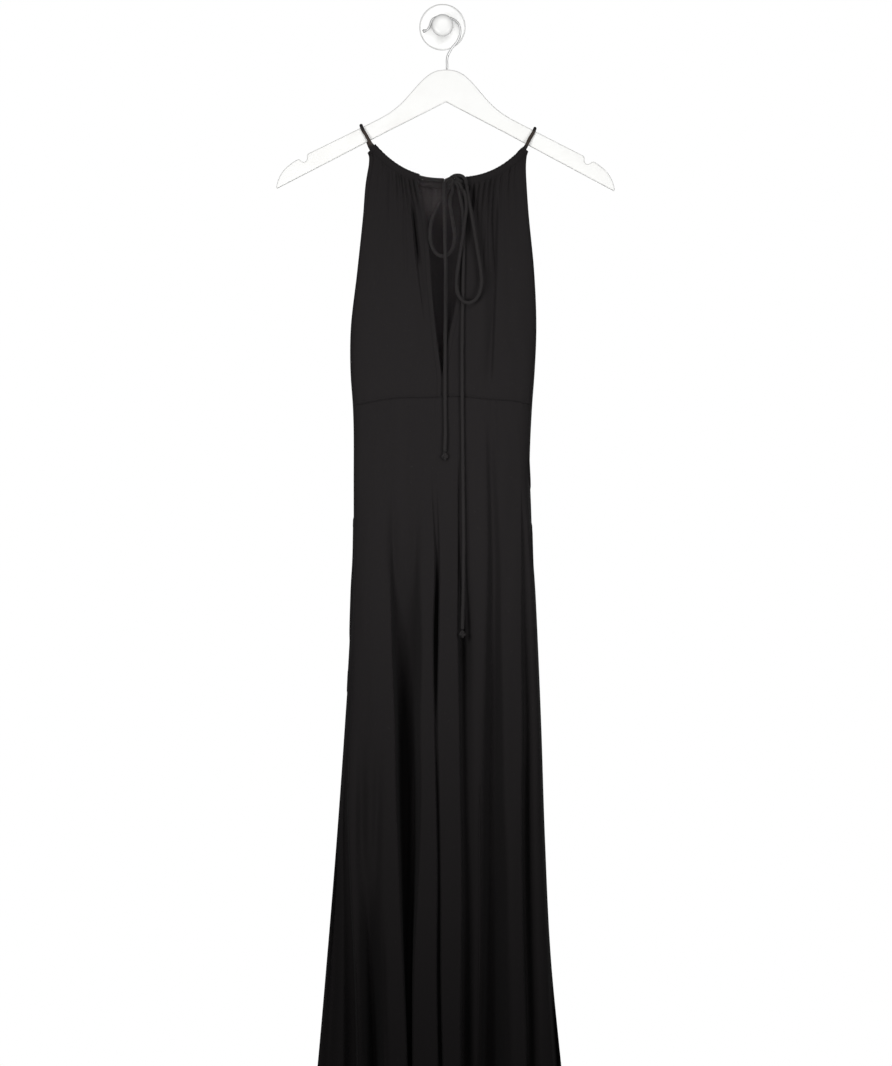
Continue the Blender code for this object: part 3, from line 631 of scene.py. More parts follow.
@dataclass(frozen=True)
class CordFinish:
    """The drawstring: a narrow bias tube of the same jersey, sewn along one side."""

    name: str
    colour: Point
    worn_colour: Point
    # Painted sheen: a lighter brown band painted on the cord at the height where it goes over the hanger's
    # arms.
    sheen_colour: Point = (0.078, 0.061, 0.051)
    sheen_heights: tuple[float, float] = (-0.158, -0.137)
    sheen_edge: float = 400.0
    sheen_share: float = 0.9
    seam_at: float = 0.0072
    seam_width: float = 0.0006

    def material(self, groups: Groups) -> Any:
        """Makes the material.

        Args:
            groups: Shared shader groups.

        Returns:
            The cord material.
        """
        material, tree, shader = start_material(
            self.name, {"Specular IOR Level": 0.08, "Sheen Weight": 0.04, "Sheen Roughness": 0.5}
        )
        cut = tree.add("UVMap", uv_map="cut").outputs[0]
        bias = tree.add("Mapping", {"Vector": cut, "Rotation": (0.0, 0.0, math.radians(45.0))})
        stitches = {"Cut": bias.outputs[0], "Wales": 1000.0, "Courses": 1300.0}
        knit = tree.add("Group", stitches, node_tree=groups.knit)
        place = tree.add("TexCoord").outputs["Object"]
        wear = tree.add("Group", {"Place": place}, node_tree=groups.wear)
        height_on = tree.add("SeparateXYZ", {0: place}).outputs[2]
        # Heights of the band of painted sheen, in the object's space.
        low, high = self.sheen_heights
        above = tree.times(tree.minus(height_on, low), self.sheen_edge, clamp=True)
        below = tree.times(tree.minus(high, height_on), self.sheen_edge, clamp=True)
        sheen_band = tree.times(above, below)
        around = tree.add("SeparateXYZ", {0: cut}).outputs[1]
        off_seam = tree.math("ABSOLUTE", tree.minus(around, self.seam_at))
        seam = tree.minus(1.0, tree.math("DIVIDE", off_seam, self.seam_width), clamp=True)
        cloth = tree.blend(wear.outputs["Patch"], (*self.colour, 1.0), (*self.worn_colour, 1.0))
        # Paints the sheen band lighter brown.
        cloth = tree.blend(tree.times(sheen_band, self.sheen_share), cloth, (*self.sheen_colour, 1.0))
        # Painted shade between the knit's stitches and along the seam's groove.
        cloth = tree.blend(tree.times(knit.outputs["Shade"], 0.35), cloth, (0.005, 0.005, 0.005, 1.0))
        cloth = tree.blend(tree.times(seam, 0.7), cloth, (0.003, 0.003, 0.003, 1.0))
        rough = tree.plus(0.72, tree.times(wear.outputs["Patch"], 0.2))
        height = tree.minus(knit.outputs["Height"], tree.times(seam, 1.5))
        tree.surface(shader, cloth, rough, height, (0.5, 0.0003))
        return material


@dataclass(frozen=True)
class PaintFinish:
    """White satin paint over wood, or white moulding: faint grain, soft marks and worn patches."""

    name: str
    colour: Point
    mark_colour: Point
    roughness: float
    grain: float
    coat: float

    def material(self, groups: Groups) -> Any:
        """Makes the material.

        Args:
            groups: Shared shader groups.

        Returns:
            The painted material.
        """
        material, tree, shader = start_material(
            self.name, {"Coat Weight": self.coat, "Coat Roughness": 0.25, "Specular IOR Level": 0.4}
        )
        place = tree.add("TexCoord").outputs["Object"]
        sizes = {"Place": place, "Patch size": 26.0, "Fleck size": 300.0}
        wear = tree.add("Group", sizes, node_tree=groups.wear)
        drawn = tree.add("Mapping", {"Vector": place, "Scale": (1.0, 9.0, 7.0)}).outputs[0]
        grain = tree.add("TexNoise", {"Vector": drawn, "Scale": 90.0, "Detail": 5.0, "Distortion": 0.4})
        marks = tree.times(tree.minus(wear.outputs["Patch"], 0.5), 1.4, clamp=True)
        flecks = tree.times(wear.outputs["Fleck"], 0.25)
        colour = tree.blend(marks, (*self.colour, 1.0), (*self.mark_colour, 1.0))
        colour = tree.blend(flecks, colour, (*(0.82 * c for c in self.mark_colour), 1.0))
        rough = tree.plus(self.roughness, tree.times(wear.outputs["Patch"], 0.18))
        height = tree.plus(tree.times(grain.outputs[0], self.grain), tree.times(wear.outputs["Fine"], 0.2))
        tree.surface(shader, colour, rough, height, (0.35, 0.0004))
        return material


@dataclass(frozen=True)
class WireFinish:
    """Drawn steel wire, dulled a little by handling."""

    name: str
    colour: Point
    roughness: float

    def material(self, groups: Groups) -> Any:
        """Makes the material.

        Args:
            groups: Shared shader groups.

        Returns:
            The steel material.
        """
        material, tree, shader = start_material(self.name, {"Metallic": 0.7})
        cut = tree.add("UVMap", uv_map="cut").outputs[0]
        place = tree.add("TexCoord").outputs["Object"]
        wear = tree.add("Group", {"Place": place, "Patch size": 60.0}, node_tree=groups.wear)
        drawn = tree.add("Mapping", {"Vector": cut, "Scale": (60.0, 2400.0, 1.0)})
        lines = tree.add("TexNoise", {"Vector": drawn.outputs[0], "Scale": 1.0, "Detail": 3.0})
        dull = tuple(0.72 * c for c in self.colour)
        colour = tree.blend(wear.outputs["Patch"], (*self.colour, 1.0), (*dull, 1.0))
        rough = tree.plus(self.roughness, tree.times(lines.outputs[0], 0.18))
        tree.surface(shader, colour, rough, lines.outputs[0], (0.2, 0.0001))
        return material


@dataclass(frozen=True)
class Wardrobe:
    """The finished materials, one for each slot."""

    jersey: Any
    cord: Any
    wood: Any
    wire: Any
    peg: Any

    @classmethod
    def build(cls) -> "Wardrobe":
        """Builds the shader groups and each finish."""
        groups = Groups.build()
        finishes = {
            "jersey": JerseyFinish("black_jersey", (0.0190, 0.0170, 0.0176), (0.0228, 0.0204, 0.0211), 0.6),
            "cord": CordFinish("black_jersey_cord", (0.0270, 0.0247, 0.0250), (0.0330, 0.0302, 0.0305)),
            "wood": PaintFinish(
                "white_painted_wood", (0.88, 0.88, 0.865), (0.80, 0.79, 0.76), 0.34, 0.8, 0.15
            ),
            "wire": WireFinish("drawn_steel", (0.86, 0.86, 0.86), 0.38),
            "peg": PaintFinish("white_peg_paint", (0.90, 0.90, 0.89), (0.83, 0.83, 0.82), 0.3, 0.3, 0.3),
        }
        return cls(**{name: finish.material(groups) for name, finish in finishes.items()})


# The body of the dress


@dataclass(frozen=True)
class Section:
    """The dress at one height: its outline from the front, and the depth of front and back."""

    z: float
    left: float
    right: float
    front: float
    back: float


@dataclass(frozen=True)
class Form:
    """The dress's smooth form, which its panels and cords lie on."""

    sections: tuple[Section, ...] = (
        Section(-171, -93.8, 105.7, -47, -15),
        Section(-204, -100.4, 109.6, -50, -13),
        Section(-250, -104.5, 113.5, -53, -11),
        Section(-322, -112.2, 120.6, -58, -10),
        Section(-401, -121.0, 123.5, -62, -9),
        Section(-453, -121.0, 121.2, -64, -9),
        Section(-496, -118.0, 118.0, -66, -9),
        Section(-600, -116.9, 114.4, -71, -9),
        Section(-755, -118.4, 122.9, -78, -8),
        Section(-912, -127.9, 129.6, -85, -8),
        Section(-1070, -139.1, 134.8, -92, -7),
        Section(-1227, -151.9, 142.6, -98, -7),
        Section(-1360, -163.5, 155.4, -102, -6),
        Section(-1567, -184.5, 177.4, -107, -6),
    )
    centre_x: float = -1.0
    waist_z: float = -496.0
    waist_arch: float = 9.0
    waist_drop: float = 1.5
    waist_corner: float = 2.0
    waist_wave: tuple[float, float] = (0.7, 13.0)
    hem_z: float = -1567.0
    underarm_z: float = -401.0
    shoulder_z: float = -171.0
    bulge: float = 3.5
    seam_gap: float = 0.06

    def read(self, column: str, z: Any) -> Array:
        """Reads one column of the sections at a height or heights."""
        return through([s.z for s in self.sections], [getattr(s, column) for s in self.sections], z)

    def side(self, z: Any) -> Array:
        """Depth of the side seam at a height."""
        return 0.5 * (self.read("front", z) + self.read("back", z))

    def share(self, x: Any, z: Any) -> Array:
        """How far x is from the centre to the outline, from 0 to 1."""
        left, right = self.read("left", z), self.read("right", z)
        reach = np.where(x > self.centre_x, right - self.centre_x, self.centre_x - left)
        return np.minimum(1.0, np.abs(x - self.centre_x) / reach)

    def rounding(self, share: Any) -> Array:
        """Flat over the middle and round at the sides: 1 at the centre, 0 at the outline."""
        return (1.0 - np.asarray(share) ** self.bulge) ** (1.0 / self.bulge)

    def depth(self, x: Any, z: Any, face: Face) -> Array:
        """Depth of the smooth front or back at x and a height."""
        side = self.side(z)
        outer = self.read(face.name.lower(), z)
        return side + (outer - side) * self.rounding(self.share(x, z))

    def waist_height(self, x: Any) -> Array:
        """Height of the arched waist seam at x."""
        share = self.share(x, self.waist_z)
        arch = self.waist_arch * (1.0 - share**2) - self.waist_corner * share**6
        size, length = self.waist_wave
        return self.waist_z - self.waist_drop + arch + size * np.sin(np.asarray(x) / length)


@dataclass(frozen=True)
class Crease:
    """A soft trough along a path of (z, x) down a panel; skew is its right width over its left one."""

    path: Pairs
    width: float
    depth: float
    fade: float = 40.0
    skew: float = 1.0

    def dip(self, x: Array, z: Array) -> Array:
        """How far the crease takes each point of the cloth inwards.

        Args:
            x: Places across the panel.
            z: Heights.

        Returns:
            The depth at each point.
        """
        top, bottom = self.path[0][0], self.path[-1][0]
        middle = through([p[0] for p in self.path], [p[1] for p in self.path], z)
        ends = smoothstep((top - z) / self.fade) * smoothstep((z - bottom) / self.fade)
        width = self.width * np.where(x > middle, self.skew, 1.0)
        return self.depth * ends * np.exp(-(((x - middle) / width) ** 2))


@dataclass(frozen=True)
class Relief:
    """Small unevenness of hanging cloth: ripples all over, and puckers along the waist seam."""

    ripple: float
    ripple_lengths: tuple[float, float]
    pucker: float
    pucker_length: float
    drift: tuple[float, float]
    fade: float
    onset: float = 60.0

    def dip(self, x: Array, z: Array, from_edge: Array, from_waist: Array, seed: float) -> Array:
        """How far the unevenness takes each point of the cloth inwards.

        Args:
            x: Places across the panel.
            z: Heights.
            from_edge: Distance from the edge that the cloth hangs from.
            from_waist: Distance from the waist seam.
            seed: Shifts the ripples, so that two panels differ.

        Returns:
            The depth at each point.
        """
        across, down = self.ripple_lengths
        ripples = weave_noise(x / across, z / down, seed) * smoothstep(from_edge / self.onset)
        size, length = self.drift
        puckers = np.sin(x / self.pucker_length + size * np.sin(x / length))
        return self.ripple * ripples + self.pucker * puckers * np.exp(-from_waist / self.fade)


@dataclass(frozen=True)
class Fold:
    """A skirt fold: how crisp its two lips are, and rows of z, x, depth, left and right half-width."""

    name: str
    crisp: tuple[float, float]
    stations: tuple[tuple[float, float, float, float, float], ...]

    def at(self, z: float) -> tuple[float, float, float, float]:
        """Place of the trough, its depth and its half-widths at a height."""
        heights, *columns = zip(*self.stations)
        x, depth, left, right = (float(through(heights, column, z)) for column in columns)
        return x, depth, left, right


@dataclass
class Skirt:
    """The flared skirt, as a front and a back panel that hang in deep uneven folds."""

    form: Form
    crest_start_z: float = -600.0
    front_folds: tuple[Fold, ...] = (
        Fold("far_left", (0.5, 0.5), (
            (-496, -107, 0, 2, 2), (-700, -116, 0, 2.5, 2.5), (-807, -119, 0, 3, 3), (-912, -123, 7, 3, 2.5),
            (-1017, -126, 16, 5, 2.5), (-1122, -122.5, 24, 9, 2.5), (-1227, -118, 30, 14, 2.5),
            (-1332, -115, 34, 16, 2.5), (-1567, -112, 36, 16, 3),
        )),
        Fold("left_soft", (0.0, 0.0), (
            (-496, -92, 0, 9, 12), (-800, -103, 0, 9, 14), (-912, -103, 0.5, 9, 14), (-1017, -101, 2, 9, 15),
            (-1122, -98, 9, 12, 18), (-1227, -95.5, 34, 15, 20), (-1332, -90.5, 50, 18, 13.5),
            (-1567, -83, 50, 16, 12),
        )),
        Fold("left_deep", (0.8, 0.7), (
            (-496, -55, 0, 16, 16), (-597, -54, 1, 16, 18), (-702, -54, 6.5, 14, 22),
            (-807, -54, 32, 11.5, 26), (-912, -50, 52, 11.5, 19), (-1017, -47.5, 60, 12, 17),
            (-1122, -45, 61, 10, 12),
            (-1227, -43.5, 61, 7, 6), (-1332, -43, 60, 4, 3.5), (-1567, -42, 62, 4, 4),
        )),
        Fold("centre_slit", (0.6, 0.6), (
            (-496, -13, 0, 4, 4), (-597, -11, 0.6, 4.5, 4), (-702, -6.5, 7, 4, 3), (-807, -8.3, 26, 3.8, 3.5),
            (-912, -8.2, 6, 2.6, 2.6), (-1017, -6.5, 8, 2.6, 2.6), (-1122, -5, 8, 2.6, 2.6),
            (-1227, -4.5, 13, 3, 3), (-1332, -3, 16, 3.4, 3.6), (-1567, -1, 22, 4, 4),
        )),
        Fold("cord_side", (1.0, 0.0), (
            (-496, 22, 0, 3, 8), (-597, 23, 1, 3, 8), (-702, 23, 4, 3, 12), (-807, 25, 24, 4.5, 15),
            (-912, 25, 21, 2.6, 17), (-1017, 26.4, 21, 2.6, 18.5), (-1122, 27.4, 24, 2.6, 17.5),
            (-1227, 27.8, 31, 3, 17), (-1332, 28, 38, 3.4, 16), (-1567, 30, 42, 4, 15),
        )),
        Fold("right_soft", (0.0, 0.2), (
            (-496, 61, 0, 6, 9), (-597, 63.5, 4, 6, 9), (-702, 66.5, 10, 8, 11), (-807, 66, 16, 10, 12),
            (-912, 65.5, 25, 12, 14), (-1017, 65, 31, 13, 17), (-1122, 64, 38, 13, 21),
            (-1227, 61.5, 46, 11, 24), (-1332, 61, 55, 11, 27), (-1567, 60, 58, 11, 28),
        )),
        Fold("right_deep", (1.0, 0.0), (
            (-496, 101, 0, 4, 6), (-620, 107, 0.5, 4, 8), (-702, 109, 5, 5, 8), (-807, 108, 11, 4.5, 10),
            (-912, 108.5, 17, 4, 12), (-1017, 107.5, 24, 3.2, 14), (-1122, 108, 27, 3, 17),
            (-1227, 109, 27, 3, 18), (-1332, 112, 26, 3, 16), (-1567, 117, 27, 3.5, 14),
        )),
    )
    front_crests: tuple[float, ...] = (26, 0, 0, -2, 0, 25, 0, 6)
    back_folds: tuple[Fold, ...] = (
        Fold("back_far_right", (0.2, 0.6), (
            (-496, 92, 0, 5, 5), (-676, 97, 2, 5.2, 5.5), (-912, 106, 10, 6.5, 4.2), (-1149, 119, 18, 8.5, 4),
            (-1359, 131, 24, 10, 4), (-1567, 142, 27, 11, 4.5),
        )),
        Fold("back_right", (0.6, 0.0), (
            (-496, 49, 0, 9, 9), (-676, 51, 9, 8.5, 9.5), (-912, 57, 24, 6.5, 13), (-1149, 64, 34, 5.2, 15),
            (-1359, 71, 38, 4.6, 15), (-1567, 78, 40, 4, 14),
        )),
        Fold("back_centre", (0.5, 0.5), (
            (-496, 14, 0, 4, 4), (-676, 15, 1, 4.5, 4), (-912, 16, 7, 4.2, 3.6), (-1149, 14, 13, 4, 4),
            (-1359, 13, 17, 4.6, 4.4), (-1567, 12, 22, 5, 5),
        )),
        Fold("back_left", (0.0, 0.8), (
            (-496, -36, 0, 10, 8), (-676, -34, 5, 12.3, 8.3), (-912, -36, 22, 15.8, 6.4),
            (-1149, -41, 36, 15.2, 5.6), (-1359, -46, 44, 12.6, 4.8), (-1567, -51, 46, 10, 4),
        )),
        Fold("back_far_left", (0.0, 0.3), (
            (-496, -88, 0, 5, 5), (-676, -89, 1, 5.7, 5.2), (-912, -97, 5, 7.6, 6.4),
            (-1149, -108, 15, 8.4, 8.6), (-1359, -119, 22, 9.2, 9.8), (-1567, -130, 24, 10, 10),
        )),
    )
    back_crests: tuple[float, ...] = (4, 0, 5, 0, 2, 6)
    soft_lip: Pairs = ((1.25, 0.0), (0.85, 0.1), (0.5, 0.58), (0.14, 1.04))
    crisp_lip: Pairs = ((1.18, 0.0), (1.02, 0.04), (0.92, 0.62), (0.72, 1.03))
    front_creases: tuple[Crease, ...] = (
        Crease(((-600, -65), (-702, -65), (-790, -60)), 6.5, 5.4, 90),
        Crease(((-600, -33), (-702, -35), (-800, -36)), 5.5, 4.6, 90),
        Crease(((-560, 22.5), (-700, 22.5), (-820, 24.0)), 1.7, 2.2, 60),
        Crease(((-505, 60), (-560, 63), (-640, 65)), 5.0, 1.2, 60),
        Crease(((-520, 34), (-640, 35), (-800, 36)), 1.6, 1.6, 60, 2.5),
        Crease(((-505, -95), (-580, -97), (-680, -100)), 7.0, 0.5, 60),
        Crease(((-503, 42), (-560, 42), (-610, 43)), 3.5, 0.5, 40),
        Crease(((-900, -106), (-1060, -106), (-1200, -105)), 6.5, 9.0, 150),
        Crease(((-900, -84), (-1060, -86), (-1200, -86)), 6.0, 6.5, 150),
        Crease(((-1000, -139), (-1122, -138), (-1227, -142), (-1332, -147), (-1567, -158)), 8.0, 11.0, 160),
        Crease(((-1150, -78), (-1290, -76), (-1480, -70)), 2.6, 2.4, 90),
        Crease(((-1010, 76), (-1122, 78), (-1332, 84), (-1500, 93)), 2.4, 2.6, 90, 2.0),
        Crease(((-1200, 143), (-1332, 149), (-1567, 167)), 4.2, 24.0, 110),
        Crease(((-1000, -26), (-1200, -23), (-1450, -22)), 5.0, 0.8, 120),
    )
    back_creases: tuple[Crease, ...] = (
        Crease(((-505, 76), (-620, 80), (-760, 86)), 4.0, 1.6, 70),
        Crease(((-505, 32), (-600, 33), (-720, 35)), 4.0, 1.4, 70),
        Crease(((-505, -14), (-620, -16), (-780, -18)), 4.5, 1.7, 80),
        Crease(((-505, -64), (-600, -66), (-720, -70)), 4.0, 1.4, 70),
        Crease(((-1050, 36), (-1250, 41), (-1480, 46)), 5.0, 2.4, 120),
        Crease(((-1000, -20), (-1200, -20), (-1480, -21)), 5.0, 2.2, 120),
        Crease(((-1050, -78), (-1250, -86), (-1480, -94)), 5.0, 2.6, 120),
    )
    rows: int = 132
    per_span: int = 4
    wall: float = 1.0
    seam_shares: tuple[float, ...] = (0.0, 0.0008, 0.0018, 0.0036)
    seam_roll: tuple[float, ...] = (1.5, 0.55, 0.1, 0.0)
    hem_row: float = 18.0
    side_flat: float = 5.0
    row_spacing: float = 0.96
    seam_ease: float = 0.04
    relief: Relief = Relief(0.45, (21.0, 150.0), 0.32, 1.9, (1.5, 11.0), 14.0)
    relief_seed: float = 1.3
    sway: float = 0.7
    sway_lengths: tuple[float, float] = (63.0, 37.0)
    sway_from: float = 900.0

    def controls(self, z: float, face: Face) -> Array:
        """Control points across one face, in the order that keeps its outside to the right.

        Args:
            z: Height of the section.
            face: Front or back.

        Returns:
            Pairs of x and depth, from side seam to side seam.
        """
        form, direction, inward = self.form, -face.value, -face.value
        soft, crisp = np.array(self.soft_lip), np.array(self.crisp_lip)
        folds = self.front_folds if face is Face.FRONT else self.back_folds
        crests = self.front_crests if face is Face.FRONT else self.back_crests
        growth = float(smoothstep((self.crest_start_z - z) / (self.crest_start_z - form.hem_z)))
        ends = [float(form.read(name, z)) for name in ("left", "right")][::direction]
        side = float(form.side(z))

        def crest_y(x: float, index: int) -> float:
            """Depth of the crest beside a fold."""
            return float(form.depth(x, z, face)) + inward * growth * crests[index]

        lips = []
        for fold in folds:
            middle, depth, *halves = fold.at(z)
            near, far = (half * direction for half in halves[::direction])
            shapes = [soft + (crisp - soft) * share for share in fold.crisp[::direction]]
            walls = [*(shapes[0] * (-near, 1.0)), *(shapes[1] * (far, 1.0))[::-1]]
            lips.append((middle, near, far, depth, walls))
        points = [(ends[0], side), (ends[0], side + self.side_flat * face.value)]
        for i, (middle, near, far, depth, walls) in enumerate(lips):
            start = ends[0] if i == 0 else lips[i - 1][0] + lips[i - 1][2]
            crest = 0.5 * (start + middle - near)
            if i == 0:
                turn = 0.5 * (ends[0] + crest)
                points.append((turn, crest_y(turn, 0)))
            points.append((crest, crest_y(crest, i)))
            bottom = float(form.depth(middle, z, face)) + inward * depth
            open_share = min(1.0, depth / 2.0)
            for k, (away, fall) in enumerate(walls):
                x = middle + float(away)
                lip = crest_y(x, i + k // len(soft))
                points.append((x, lip + (bottom - lip) * float(fall) * open_share))
        crest = 0.5 * (lips[-1][0] + lips[-1][2] + ends[1])
        turn = 0.5 * (ends[1] + crest)
        points += [(crest, crest_y(crest, len(lips))), (turn, crest_y(turn, len(lips)))]
        return np.array([*points, (ends[1], side + self.side_flat * face.value), (ends[1], side)])

    def grid(self, face: Face) -> Array:
        """Outer points of one panel, in rows from the waist to the hem.

        Args:
            face: Front or back.

        Returns:
            Points in millimetres.
        """
        form = self.form
        rows = []
        spaced = np.linspace(0.0, 1.0, self.rows)[1:] ** self.row_spacing
        for share in np.concatenate([self.seam_shares, spaced]):
            z = form.waist_z + (form.hem_z - form.waist_z) * share
            flat = bspline(self.controls(float(z), face), self.per_span)
            lift = (form.waist_height(flat[:, 0]) - form.waist_z) * (1.0 - share) ** 2
            rows.append(np.stack([flat[:, 0], flat[:, 1], z + lift], axis=1))
        grid = np.array(rows)
        grid[0, :, 2] -= form.seam_gap / 2
        x, z = grid[:, :, 0], grid[:, :, 2]
        held = smoothstep((1.0 - form.share(x, z)) / self.seam_ease)
        creases = self.front_creases if face is Face.FRONT else self.back_creases
        dip = sum(crease.dip(x, z) for crease in creases)
        below = form.waist_z - z
        dip = dip + self.relief.dip(x, z, below, below, self.relief_seed + face.value)
        grid[:, :, 1] -= face.value * held * dip
        top = len(self.seam_roll)
        grid[:top, :, 1] -= face.value * np.array(self.seam_roll)[:, None] * held[:top]
        down, across = self.sway_lengths
        swing = smoothstep(below / self.sway_from) * held
        grid[:, :, 0] += self.sway * np.sin(z / down + x / across) * swing
        part_seams(grid, form.seam_gap)
        return grid

    def sewn(self, grid: Array) -> Array:
        """Distance from the hem's sewn row, and the run along it."""
        down, across = laid_flat(grid)
        return np.stack([down[-1:] - down - self.hem_row, across], axis=-1)

    def build(self, finishes: Wardrobe) -> None:
        """Builds both panels.

        Args:
            finishes: The finished materials.
        """
        for face, node in ((Face.FRONT, "skirt_front"), (Face.BACK, "skirt_back")):
            grid = self.grid(face)
            cloth = shell(grid, self.wall, self.sewn(grid))
            obj = add_piece(f"{node}_cloth", cloth, finishes.jersey, (node,))


# The gathered bodice


@dataclass(frozen=True)
class Neckline:
    """The run of the drawstring's centre in a casing, from side to side."""

    left: float
    right: float
    low_z: float
    rise: float
    power: float
    corner_y: float
    middle_y: float

    def point(self, x: Any) -> Array:
        """Centre of the drawstring at x, one point a row."""
        x = np.atleast_1d(np.asarray(x, float))
        t = np.abs(x - 0.5 * (self.left + self.right)) / (0.5 * (self.right - self.left))
        depth = self.middle_y + (self.corner_y - self.middle_y) * t**2
        return np.stack([x, depth, self.low_z + self.rise * t**self.power], axis=1)

    def up(self, x: Any) -> Array:
        """Direction square to the casing at x, in the plane of the neckline."""
        run = self.point(np.asarray(x) + 1.0) - self.point(np.asarray(x) - 1.0)
        up = np.stack([-run[:, 2], np.zeros(len(run)), run[:, 0]], axis=1)
        return up / np.linalg.norm(up, axis=1)[:, None]


FRONT_NECK = Neckline(-88.0, 108.4, -203.2, 41.6, 2.6, -42.0, -47.5)
BACK_NECK = Neckline(-94.0, 106.5, -207.4, 45.4, 2.6, -18.5, -17.5)


@dataclass(frozen=True)
class Gather:
    """A gather under the casing: its share of the way across, its depth and how far it runs."""

    across: float
    depth: float
    length: float


class Edge(Enum):
    """How a long edge of a bodice panel is finished."""

    ARMHOLE_LEFT = "armhole_left"
    ARMHOLE_RIGHT = "armhole_right"
    SLIT_LEFT = "slit_left"
    SLIT_RIGHT = "slit_right"

    @property
    def outline(self) -> Optional[str]:
        """The column of the sections that an armhole follows, or None for a slit."""
        return {"armhole_left": "left", "armhole_right": "right"}.get(self.value)


